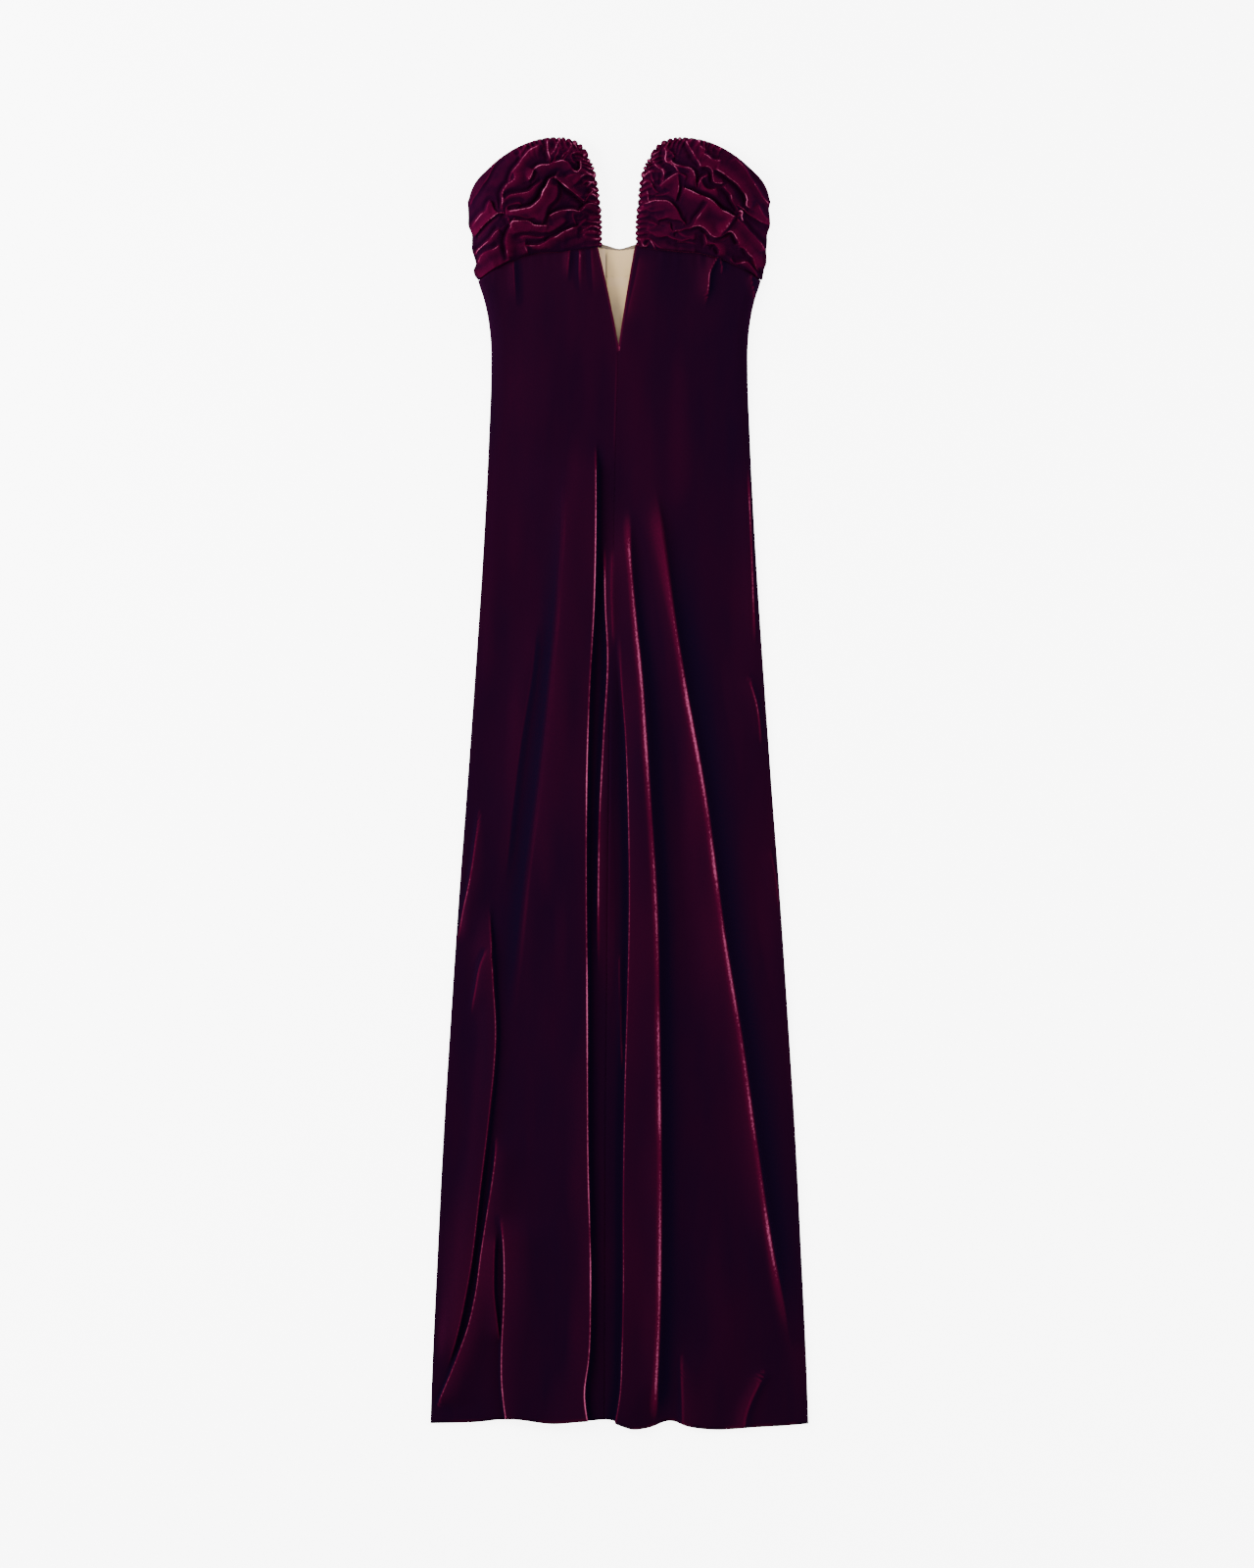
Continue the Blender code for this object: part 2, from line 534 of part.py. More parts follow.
def make_casing(name, side, material):
    """The gathered casing: a roll that is pinched between one gather and the next."""
    length = edge_length(CUP_INNER) + CASING_ON_TOP * edge_length(CUP_TOP)
    gathers = round(length / CASING_PITCH)
    share = np.linspace(0.01, casing_end()[1], gathers * CASING_STEPS + 1)
    spine, way = free_edge(share, casing_radius(share))
    bm = bmesh.new()
    rings = []
    for k, (middle, ahead) in enumerate(zip(spine, way)):
        swell = abs(math.sin(math.pi * k / CASING_STEPS))
        radius = casing_radius(share[k]) * (1 - CASING_PINCH + CASING_PINCH * swell)
        out = np.array([ahead[1], -ahead[0]])
        ring = []
        for step in range(CASING_SIDES):
            angle = 2 * math.pi * step / CASING_SIDES
            flat = middle + out * radius * math.cos(angle)
            z = CUP_EDGE_Z - CUP_WALL / 2 + radius * math.sin(angle)
            ring.append(bm.verts.new((side * flat[0] * MM, flat[1] * MM, z * MM)))
        rings.append(ring)
    for near, far in zip(rings, rings[1:]):
        for step in range(CASING_SIDES):
            bm.faces.new((near[step - 1], near[step], far[step], far[step - 1]))
    bm.faces.new(rings[0])
    bm.faces.new(rings[-1][::-1])
    return link(name, bm, material)


def make_plate(name, outline, low, high, material):
    """A piece of cloth that lies flat: its outline, given a thickness."""
    bm = bmesh.new()
    face = bm.faces.new([bm.verts.new((x * MM, y * MM, low * MM)) for x, y in outline])
    raised = bmesh.ops.extrude_face_region(bm, geom=[face])["geom"]
    verts = [v for v in raised if isinstance(v, bmesh.types.BMVert)]
    bmesh.ops.translate(bm, verts=verts, vec=(0, 0, (high - low) * MM))
    return link(name, bm, material)


def back_neck_y(out):
    """The back's top edge: a shallow V, rounded at the centre back."""
    return NECK_BACK_Y + NECK_BACK_SLOPE * (math.hypot(out, 8.0) - 8.0)


def back_outline(side):
    """A back panel's outline, a little inside the front's so that the front hides it."""
    centre, hem = SEAM_GAP / 2, HEM_Y + BACK_HEM_RISE
    outline = [(side * centre, hem)]
    outline += [(side * x, hem) for x in (90.0, 180.0)]
    heights = np.linspace(hem, CUP_SIDE[0][1], 19)
    outline += [(side * (half_width(y) - BACK_INSET), y) for y in heights]
    outline += [(side * (x - BACK_INSET), y) for x, y in CUP_SIDE[1:-1]]
    outline += [(side * x, back_neck_y(x)) for x in (171.0, 120.0, 70.0, 35.0, 18.0, 8.0)]
    outline += [(side * centre, back_neck_y(0.0))]
    return outline


def lining_outline():
    """The back lining: its top edge is straighter than the back's, so velvet shows above it."""
    across = np.linspace(-LINING_TOP_HALF, LINING_TOP_HALF, 5)
    top = [(x, LINING_TOP_Y + LINING_TOP_SLOPE * abs(x)) for x in across]
    bottom = [(x, LINING_LOW_Y) for x in (LINING_LOW_HALF, 0.0, -LINING_LOW_HALF)]
    return top + bottom


def make_material(name, colour, roughness):
    material = bpy.data.materials.new(name)
    material.use_nodes = True
    shader = material.node_tree.nodes["Principled BSDF"]
    shader.inputs["Base Color"].default_value = (*colour, 1.0)
    shader.inputs["Roughness"].default_value = roughness
    shader.inputs["Metallic"].default_value = 0.0
    return material


def main():
    for thing in list(bpy.data.objects):
        bpy.data.objects.remove(thing)
    velvet = make_material("burgundy_velvet", (0.035, 0.002, 0.014), 0.9)
    satin = make_material("cream_satin", (0.62, 0.50, 0.36), 0.5)
    for word, side, ruches in (("left", -1, LEFT_RUCHES), ("right", 1, RIGHT_RUCHES)):
        make_panel(f"front_{word}", side, velvet)
        make_cup(f"cup_{word}", side, ruches, velvet)
        make_casing(f"cup_casing_{word}", side, velvet)
        make_plate(f"back_{word}", back_outline(side), 0.0, BACK_CLOTH, velvet)
    low = BACK_CLOTH + SEAM_GAP
    make_plate("back_lining", lining_outline(), low, low + LINING, satin)


main()
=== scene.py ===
import math

import bmesh
import bpy
import numpy as np
from mathutils import Matrix, Vector


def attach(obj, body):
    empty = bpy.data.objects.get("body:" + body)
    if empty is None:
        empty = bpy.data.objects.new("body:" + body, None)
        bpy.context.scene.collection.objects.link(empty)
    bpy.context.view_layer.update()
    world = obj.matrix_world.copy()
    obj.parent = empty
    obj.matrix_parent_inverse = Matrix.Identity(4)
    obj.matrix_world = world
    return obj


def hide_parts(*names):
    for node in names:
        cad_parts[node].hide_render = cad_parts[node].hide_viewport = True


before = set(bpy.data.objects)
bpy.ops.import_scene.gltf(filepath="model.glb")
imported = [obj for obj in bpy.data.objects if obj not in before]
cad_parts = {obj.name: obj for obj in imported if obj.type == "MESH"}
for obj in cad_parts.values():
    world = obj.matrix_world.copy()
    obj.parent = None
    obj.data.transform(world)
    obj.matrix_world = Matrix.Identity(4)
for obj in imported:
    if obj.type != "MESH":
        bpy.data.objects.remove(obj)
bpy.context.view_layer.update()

mm = 0.001

# The gown's shared sizes, in millimetres, in the same places as the solids'. A pair is left, right:
# each edge of the V leans and bows by vEdges, and each cup's free edge lies cupShift nearer the centre.
gown = dict(
    hemY=-732.6,
    vPointY=503.0,
    vTopY=616.5,
    vEdges=((20.0, 4.0), (16.5, 2.2)),
    pile=1.3,
    underbustY=605.0,
    neckBackY=615.5,
    neckBackSlope=0.3,
    sideZ=3.8,
    skirtZ=4.4,
    bodiceZ=16.0,
    edgeRound=16.0,
    bustFrom=300.0,
    bustCurve=1.3,
    cupShift=(2.2, 3.8),
    backZ=1.8,
    seamGap=0.3,
)

# Half the gown's width at each height, from the hem up.
outline = [
    (-742.0, 216.0), (-675.0, 213.8), (-540.0, 207.6), (-405.0, 200.8), (-270.0, 192.4),
    (-135.0, 183.4), (0.0, 173.3), (135.0, 163.7), (270.0, 154.9), (405.0, 148.2),
    (470.0, 146.0), (510.0, 146.6), (540.0, 150.6), (562.0, 156.2), (570.0, 159.0), (578.0, 161.2),
]
# How far the hem hangs below its level, across the gown.
hemWaves = [
    (-216.0, 0.9), (-160.0, -0.8), (-129.0, -4.2), (-75.0, 1.2), (-35.0, -1.9), (-9.0, -2.5), (14.0, 7.6),
    (33.0, 6.0), (58.0, -1.9), (80.0, 4.8), (110.0, 8.3), (148.0, 6.0), (190.0, 3.7), (216.0, 1.5),
]
# Where the centre front seam runs at each height.
centreSeam = [(-742.0, -17.0), (-338.0, -15.5), (0.0, -11.0), (236.0, -7.5), (394.0, -4.0), (503.0, -1.0)]

# A cup's four edges, as distances out from the centre line and heights.
cupSide = [(160.0, 578.0), (164.0, 590.0), (166.0, 610.0), (169.0, 633.0), (171.5, 650.0), (172.0, 668.0)]
# How far the left and the right cup's side reaches past cupSide, at each height.
sideWaves = (
    [(578.0, 2.2), (582.0, 4.0), (586.0, 4.2), (590.0, 3.5), (596.0, 0.0), (604.0, 1.1), (612.0, 3.0),
        (622.0, 1.8), (630.0, 0.9), (640.0, 3.2), (650.0, 2.0), (660.0, 1.9), (668.0, 2.4)],
    [(578.0, 4.0), (582.0, 3.3), (586.0, 2.7), (590.0, 2.1), (596.0, 3.5), (604.0, 3.5), (612.0, 2.5),
        (622.0, 2.2), (630.0, 1.2), (640.0, 2.9), (650.0, 1.4), (660.0, 0.0), (668.0, 1.6)],
)
cupTop = [
    (172.0, 668.0), (170.2, 679.5), (166.0, 688.5), (151.0, 705.0), (130.5, 722.0), (111.0, 733.0),
    (90.0, 739.5), (67.0, 741.0), (52.0, 738.0), (42.5, 731.0),
]
cupInner = [(42.5, 731.0), (34.0, 714.0), (28.5, 697.0), (25.5, 674.0), (22.8, 650.0), (22.5, 616.5)]
cupSeam = [
    (160.0, 578.0), (143.0, 590.0), (122.0, 600.0), (98.0, 607.5), (64.0, 610.5), (39.0, 614.0),
    (22.5, 616.5),
]


def smooth(at, known, values):
    known, values = np.asarray(known, float), np.asarray(values, float)
    at = np.clip(np.asarray(at, float), known[0], known[-1])
    slope = np.gradient(values, known)
    i = np.clip(np.searchsorted(known, at, side="right") - 1, 0, len(known) - 2)
    span = known[i + 1] - known[i]
    t = (at - known[i]) / span
    rise = (2 * t**3 - 3 * t**2 + 1) * values[i] + (3 * t**2 - 2 * t**3) * values[i + 1]
    lean = (t**3 - 2 * t**2 + t) * slope[i] + (t**3 - t**2) * slope[i + 1]
    return rise + lean * span


def along(points, share):
    points = np.array(points, float)
    steps = np.linalg.norm(np.diff(points, axis=0), axis=1)
    reach = np.concatenate([[0.0], np.cumsum(steps)]) / steps.sum()
    return np.stack([smooth(share, reach, points[:, k]) for k in (0, 1)], axis=-1)


def ease(low, high, value):
    t = np.clip((value - low) / (high - low), 0.0, 1.0)
    return t * t * (3.0 - 2.0 * t)


def bell(off, width):
    return np.exp(-((off / width) ** 2))


def hashed(ix, iy, seed):
    n = np.sin(ix * 127.1 + iy * 311.7 + seed * 74.7) * 43758.5453
    return n - np.floor(n)


def softNoise(x, y, seed):
    ix, iy = np.floor(x), np.floor(y)
    fx, fy = x - ix, y - iy
    fx, fy = fx * fx * (3 - 2 * fx), fy * fy * (3 - 2 * fy)
    low = hashed(ix, iy, seed) * (1 - fx) + hashed(ix + 1, iy, seed) * fx
    high = hashed(ix, iy + 1, seed) * (1 - fx) + hashed(ix + 1, iy + 1, seed) * fx
    return (low * (1 - fy) + high * fy) * 2 - 1


def halfWidth(y):
    return smooth(y, *zip(*outline)) + gown["pile"]


def seamY(out):
    return smooth(out, *zip(*cupSeam[::-1]))


def frontEdgeX(y, side):
    opening = np.clip((y - gown["vPointY"]) / (gown["vTopY"] - gown["vPointY"]), 0.0, 1.0)
    lean, bow = gown["vEdges"][int(side > 0)]
    apart = lean * opening + bow * opening**2 - 0.12 * ease(0.02, 0.0, opening)
    return smooth(y, *zip(*centreSeam)) + side * apart


def innerShift(x, y, side):
    return gown["cupShift"][int(side > 0)] * ease(75.0, 22.0, x) * ease(738.0, 700.0, y)


def frontHeight(x, y):
    swell = ease(gown["bustFrom"], gown["underbustY"], y) ** gown["bustCurve"]
    level = gown["skirtZ"] + (gown["bodiceZ"] - gown["skirtZ"]) * swell
    inward = np.clip((halfWidth(y) - np.abs(x)) / gown["edgeRound"], 0.0, 1.0)
    return gown["sideZ"] + (level - gown["sideZ"]) * np.sqrt(1.0 - (1.0 - inward) ** 2)


# How much lighter or darker the relief's slopes are painted, for light that comes in from one side.
def paintedSlopeLight(points, relief, light, share):
    raised = points.copy()
    raised[..., 2] = relief
    normal = np.cross(np.gradient(raised, axis=1), np.gradient(raised, axis=0))
    normal /= np.linalg.norm(normal, axis=-1, keepdims=True) + 1e-9
    normal *= np.where(normal[..., 2:] < 0, -1.0, 1.0)
    toward = normal[..., 0] * light[0] + normal[..., 1] * light[1]
    return share * (ease(0.03, 0.7, toward) - ease(0.05, 0.6, -toward))


def meshOf(bm, name):
    mesh = bpy.data.meshes.new(name)
    bm.to_mesh(mesh)
    bm.free()
    return mesh


def newObject(name, data):
    piece = bpy.data.objects.new(name, data)
    bpy.context.scene.collection.objects.link(piece)
    return piece


# place gives each vertex's spot and its painted light: above 0 the velvet is painted lit, below 0 painted in
# the shade of a hollow; on the lining it also carries the seam line, the pink sides and the facing.
def gridObject(name, look, place, material):
    columns, rows = look["columns"], look["rows"]
    bm = bmesh.new()
    bmesh.ops.create_grid(bm, x_segments=columns, y_segments=rows, size=1.0)
    mesh = meshOf(bm, name)
    flat = np.empty(len(mesh.vertices) * 3)
    mesh.vertices.foreach_get("co", flat)
    flat = flat.reshape(-1, 3)
    u = (flat[:, 0] + 1) / 2
    v = (flat[:, 1] + 1) / 2
    points, paintedLightAndMarks = place(u.reshape(rows + 1, columns + 1), v.reshape(rows + 1, columns + 1))
    mesh.vertices.foreach_set("co", (points.reshape(-1, 3) * mm).ravel())
    layer = mesh.attributes.new("paintedLightAndMarks", "FLOAT", "POINT")
    layer.data.foreach_set("value", np.clip(paintedLightAndMarks, -1, 1).ravel().astype(np.float32))
    mesh.materials.append(material)
    mesh.shade_smooth()
    mesh.update()
    piece = newObject(name, mesh)
    if "thickness" in look:
        shell = piece.modifiers.new("shell", "SOLIDIFY")
        shell.thickness = look["thickness"] * mm
        shell.offset = -1.0
    return piece


print("materials")
# Painted light and shade: flank is the colour of lit flanks, crest of painted highlights and trough of shaded
# hollows, and glint makes them sparkle; deep and body are the velvet's own tone, mixed at random.
velvetLook = dict(
    trough=(0.0031, 0.0009, 0.0062),
    deep=(0.0047, 0.0007, 0.0060),
    body=(0.0080, 0.0006, 0.0059),
    flank=(0.037, 0.0011, 0.0107),
    crest=(0.30, 0.052, 0.130),
    shader={
        "Roughness": 0.6,
        "Specular IOR Level": 0.0,
        "Specular Tint": (1.0, 0.35, 0.55),
        "Sheen Weight": 0.03,
        "Sheen Roughness": 0.35,
        "Sheen Tint": (1.0, 0.05, 0.25),
    },
    pileScale=1500.0,
    napScale=260.0,
    pileBump=0.16,
    cloudScale=9.0,
    streakScale=60.0,
    streakShare=0.35,
    glintScale=620.0,
    glint=(0.72, 1.2),
)


def addNode(tree, kind, **values):
    node = tree.nodes.new(kind)
    for key, value in values.items():
        if key in node.inputs:
            node.inputs[key].default_value = value
        else:
            setattr(node, key, value)
    return node


def noiseOf(tree, coords, scale, detail=3.0, stretch=(1, 1, 1), roughness=0.5):
    mapping = addNode(tree, "ShaderNodeMapping")
    mapping.inputs["Scale"].default_value = stretch
    tree.links.new(coords, mapping.inputs["Vector"])
    noise = addNode(tree, "ShaderNodeTexNoise", Scale=scale, Detail=detail, Roughness=roughness)
    tree.links.new(mapping.outputs[0], noise.inputs["Vector"])
    return noise.outputs["Fac"]


def rangeOf(tree, value, low, high, outLow=0.0, outHigh=1.0):
    span = {"From Min": low, "From Max": high, "To Min": outLow, "To Max": outHigh}
    node = addNode(tree, "ShaderNodeMapRange", **span)
    tree.links.new(value, node.inputs["Value"])
    return node.outputs[0]


def mixColour(tree, factor, a, b):
    node = addNode(tree, "ShaderNodeMix", data_type="RGBA")
    tree.links.new(factor, node.inputs[0])
    for socket, value in ((node.inputs[6], a), (node.inputs[7], b)):
        if isinstance(value, tuple):
            socket.default_value = (*value, 1.0)
        else:
            tree.links.new(value, socket)
    return node.outputs[2]


def newMaterial(name, sockets):
    material = bpy.data.materials.new(name)
    material.use_nodes = True
    shader = material.node_tree.nodes["Principled BSDF"]
    for socket, value in sockets.items():
        shader.inputs[socket].default_value = (*value, 1.0) if isinstance(value, tuple) else value
    return material


def velvetMaterial(name, look):
    material = newMaterial(name, look["shader"])
    tree = material.node_tree
    shader = tree.nodes["Principled BSDF"]
    coords = addNode(tree, "ShaderNodeTexCoord").outputs["Object"]
    cloud = noiseOf(tree, coords, look["cloudScale"], 4.0, (1.0, 0.35, 1.0), 0.6)
    streak = noiseOf(tree, coords, look["streakScale"], 3.0, (1.0, 0.12, 1.0), 0.6)
    paintedLightAndMarks = addNode(tree, "ShaderNodeAttribute", attribute_name="paintedLightAndMarks").outputs["Fac"]
    glint = noiseOf(tree, coords, look["glintScale"], 3.0, (1.0, 0.6, 1.0), 0.7)
    glint = rangeOf(tree, glint, 0.3, 0.7, *look["glint"])
    lift = addNode(tree, "ShaderNodeMath", operation="MULTIPLY")
    tree.links.new(paintedLightAndMarks, lift.inputs[0])
    tree.links.new(glint, lift.inputs[1])
    paintedLightAndMarks = lift.outputs[0]
    tone = mixColour(tree, rangeOf(tree, cloud, 0.35, 0.68), look["deep"], look["body"])
    tone = mixColour(tree, rangeOf(tree, streak, 0.42, 0.75, 0.0, look["streakShare"]), tone, look["body"])
    # Painted light and shade: the flank colour where lit, the crest colour as a highlight, the trough colour
    # in shaded hollows.
    tone = mixColour(tree, rangeOf(tree, paintedLightAndMarks, 0.0, 0.5), tone, look["flank"])
    tone = mixColour(tree, rangeOf(tree, paintedLightAndMarks, 0.5, 0.95), tone, look["crest"])
    tone = mixColour(tree, rangeOf(tree, paintedLightAndMarks, 0.0, -0.6), tone, look["trough"])
    tree.links.new(tone, shader.inputs["Base Color"])
    pile = noiseOf(tree, coords, look["pileScale"], 2.0)
    pileAndPaintedLight = noiseOf(tree, coords, look["napScale"], 3.0, (1.0, 0.4, 1.0))
    height = addNode(tree, "ShaderNodeMath", operation="ADD")
    tree.links.new(pile, height.inputs[0])
    tree.links.new(pileAndPaintedLight, height.inputs[1])
    bump = addNode(tree, "ShaderNodeBump", Strength=look["pileBump"], Distance=0.0004)
    tree.links.new(height.outputs[0], bump.inputs["Height"])
    tree.links.new(bump.outputs[0], shader.inputs["Normal"])
    return material


satinLook = dict(
    light=(0.62, 0.42, 0.190),
    shade=(0.54, 0.35, 0.155),
    facing=(0.035, 0.023, 0.024),
    pink=(0.58, 0.38, 0.25),
    shader={"Roughness": 0.42, "Sheen Weight": 0.3, "Sheen Tint": (1.0, 0.92, 0.8)},
    cloudScale=22.0,
    weaveScale=2400.0,
    weaveBump=0.12,
)


def satinMaterial(name, look):
    material = newMaterial(name, look["shader"])
    tree = material.node_tree
    shader = tree.nodes["Principled BSDF"]
    coords = addNode(tree, "ShaderNodeTexCoord").outputs["Object"]
    cloud = noiseOf(tree, coords, look["cloudScale"], 3.0)
    paintedLightAndMarks = addNode(tree, "ShaderNodeAttribute", attribute_name="paintedLightAndMarks").outputs["Fac"]
    tone = mixColour(tree, rangeOf(tree, cloud, 0.35, 0.7), look["light"], look["shade"])
    # Above 0 the lining turns pink and below 0 takes the facing's colour; this carries the lining's own seam
    # line, pink sides and facing, and also painted light on its wrinkles and a painted shadow.
    tone = mixColour(tree, rangeOf(tree, paintedLightAndMarks, 0.0, 1.0), tone, look["pink"])
    tone = mixColour(tree, rangeOf(tree, paintedLightAndMarks, 0.0, -1.0), tone, look["facing"])
    tree.links.new(tone, shader.inputs["Base Color"])
    weave = noiseOf(tree, coords, look["weaveScale"], 2.0, (1.0, 0.25, 1.0))
    bump = addNode(tree, "ShaderNodeBump", Strength=look["weaveBump"], Distance=0.0002)
    tree.links.new(weave, bump.inputs["Height"])
    tree.links.new(bump.outputs[0], shader.inputs["Normal"])
    return material


velvet = velvetMaterial("wineVelvet", velvetLook)
# The cups' copy of the velvet: its own tone a little redder, the painted highlight on its crests paler.
cupVelvetLook = dict(
    velvetLook,
    deep=(0.0050, 0.0005, 0.0055),
    body=(0.0088, 0.0004, 0.0056),
    flank=(0.037, 0.0007, 0.0099),
    crest=(0.30, 0.060, 0.142),
)
cupVelvet = velvetMaterial("wineVelvetCups", cupVelvetLook)
satin = satinMaterial("creamSatin", satinLook)

print("front panels")
# A fold's crest runs down through its path, `rise` high. It falls away over `left` and `right`, and
# `lap` pushes the crest over its steep side: above 0 to the right, below 0 to the left. `line` is the
# painted highlight on its crest, `glow` the painted light on its flank over `reach`, `dark` the painted shade
# of the hollow beside it, `hollow` wide, and `wide` half the painted highlight. It fades in over `fadeTop`
# and out over `fadeEnd`; 0 runs into the hem.
foldColumns = (
    "name", "rise", "left", "right", "lap", "line", "glow", "reach", "dark", "hollow",
    "fadeTop", "fadeEnd", "wide", "path",
)
foldRows = [
    ("leftTongue", 9.0, 62, 3.2, 4.5, 1.0, 0.06, 12, 1.0, 9, 46, 0, 1.1, [(-27, 396), (-27, 292), (-29, 202),
        (-34, 112), (-37, 20), (-38, -90), (-37, -225), (-36, -428), (-33, -585), (-35, -658), (-40, -701),
        (-35, -742)]),
    ("innerCrease", 4.5, 3.4, 13, -2.0, 0.8, 0.10, 5, 0.95, 8, 60, 140, 1.0, [(-17, 285), (-16, 202),
        (-13.5, 152), (-18, 56), (-22.5, -34), (-24, -112), (-24, -240)]),
    ("shortCrease", 1.5, 2.5, 5, 0, 0.45, 0.12, 5, 0.0, 4, 25, 40, 0.9, [(-8, 275), (-8, 214), (-5, 150)]),
    ("rightTongue", 8.5, 3.2, 30, -4.0, 0.62, 0.05, 14, 0.95, 13, 130, 0, 0.75, [(0, 200), (2, 124), (7, 56),
        (10.5, -45), (11.5, -135), (10, -225), (7, -326), (4.5, -484), (4.5, -585), (3, -652), (1, -698),
        (-6, -742)]),
    ("innerSoft", 1.0, 3, 5, 0, 0.3, 0.0, 5, 0.0, 4, 30, 40, 1.2, [(-1, -180), (2, -290), (3.5, -340)]),
    ("broadRidge", 7.5, 17, 8, 2.5, 0.80, 0.22, 4, 0.85, 19, 70, 60, 1.9, [(9, 325), (12, 259), (18, 191),
        (25, 124), (30, 56), (35, -22), (42, -135), (45, -281), (47, -506), (46, -596), (40, -742)]),
    ("longDiagonal", 7.0, 26, 6.5, 2.5, 0.76, 0.28, 5, 0.75, 29, 60, 150, 2.3, [(40, 345), (49, 281),
        (57, 225), (75.5, 112), (96, 0), (121, -180), (139.5, -292), (157, -416), (174, -529), (199, -660)]),
    ("leftSoft", 4.0, 10, 26, -1.0, 0.15, 0.05, 8, 0.75, 14, 70, 160, 2.4, [(-61, 372), (-63, 292),
        (-66.5, 236), (-75.5, 124), (-88, 11), (-104, -112), (-116, -225), (-126, -300)]),
    ("leftOuter", 3.2, 20, 10, 0.5, 0.10, 0.05, 9, 0.6, 9, 50, 80, 2.0, [(-94.5, 200), (-100, 135),
        (-114, 45), (-126, -56), (-134, -140)]),
    ("sideTuck", 3.0, 4, 20, -1.0, 0.6, 0.12, 8, 0.4, 5, 40, 25, 1.0, [(-159, -18), (-165, -67), (-172, -112),
        (-180, -146), (-187, -186)]),
    ("sideTuckLow", 2.5, 4, 12, -1.0, 0.5, 0.08, 7, 0.3, 5, 16, 30, 1.0, [(-152, -184), (-160, -208),
        (-165, -236), (-171, -270)]),
    ("slitLeft", 6.5, 17, 3.0, 3.0, 0.65, 0.12, 8, 1.0, 7, 60, 50, 0.9, [(-150, -130), (-145, -225),
        (-142, -292), (-144, -326), (-148.5, -371), (-160, -467), (-173, -568), (-192, -652), (-200, -676)]),
    ("slitRight", 5.5, 3.0, 24, -2.5, 0.65, 0.16, 10, 0.9, 5, 40, 20, 0.9, [(-142, -394), (-142, -422),
        (-145, -450), (-152, -495), (-159, -540), (-165, -585), (-174, -624), (-185, -655), (-212, -720)]),
    ("panelEdge", 7.5, 3.0, 42, -3.0, 0.8, 0.1, 12, 0.7, 5, 35, 0, 0.9, [(-137, -490), (-133, -529),
        (-132, -562), (-133, -607), (-135, -647), (-135, -686), (-133, -709), (-128, -742)]),
    ("slitLip", 3.5, 9, 3.0, 1.0, 0.55, 0.12, 6, 0.8, 4, 22, 22, 0.9, [(-142, -512), (-144, -551),
        (-144, -585), (-141, -613), (-137, -645)]),
    ("hemRidge", 3.5, 5, 26, -0.5, 0.34, 0.12, 9, 0.4, 6, 40, 0, 1.6, [(71, -640), (71.5, -675), (72.5, -705),
        (73, -742)]),
    ("hemDart", 3.5, 10, 8, 0.5, 0.42, 0.22, 6, 0.3, 7, 16, 0, 1.9, [(166, -668), (163.5, -680), (157, -694),
        (150, -709), (145.5, -722), (142, -742)]),
    ("rightSide", 1.4, 10, 4, 0, 0.72, 0.05, 6, 0.2, 4, 60, 60, 1.1, [(147, 375), (152, 259), (155.5, 150)]),
    ("rightSideLow", 2.4, 12, 5, 0, 0.66, 0.08, 6, 0.3, 5, 24, 24, 1.1, [(146, 130), (158, 88), (163, 40)]),
    ("rightHip", 2.0, 9, 5, 0, 0.5, 0.08, 5, 0.2, 4, 18, 30, 1.0, [(172, -70), (180, -112), (183, -150)]),
    ("gatherA", 2.4, 4, 5, 0, 0.55, 0.22, 5, 0.3, 5, 3, 40, 1.2, [(-45, 613), (-45.5, 590), (-45, 560)]),
    ("gatherB", 2.2, 5, 4, 0, 0.5, 0.2, 5, 0.3, 5, 3, 30, 1.2, [(-57, 613), (-59, 596), (-61, 572)]),
    ("gatherC", 1.6, 5, 5, 0, 0.25, 0.24, 6, 0.2, 5, 3, 46, 1.2, [(-32, 614), (-31, 590), (-29, 556)]),
    ("gatherD", 1.8, 6, 5, 0, 0.28, 0.06, 5, 0.5, 6, 3, 30, 1.2, [(-122, 600), (-121, 580), (-119, 545)]),
    ("gatherE", 4.2, 10, 3.4, 1.6, 0.72, 0.28, 5, 0.6, 9, 3, 26, 1.0, [(114, 606), (110.8, 601),
        (106.3, 592.5), (103.4, 585.4), (102.7, 578.4), (102, 568.7), (100.5, 559), (97, 546)]),
    ("gatherF", 2.6, 5, 3.4, 0.8, 0.55, 0.2, 4, 0.5, 8, 3, 9, 0.9, [(115, 605), (116, 599.6), (117.6, 593.3),
        (116.6, 583)]),
    ("gatherG", 2.4, 5, 4, 0, 0.6, 0.15, 4, 0.5, 5, 3, 9, 0.9, [(150.5, 583), (152.4, 573), (154.3, 565.7),
        (153.8, 554)]),
    ("vEdgeRight", 0.8, 4, 8, 0, 0.28, 0.16, 8, 0.0, 4, 20, 30, 1.2, [(25, 612), (19, 580), (12, 550),
        (6, 520)]),
]
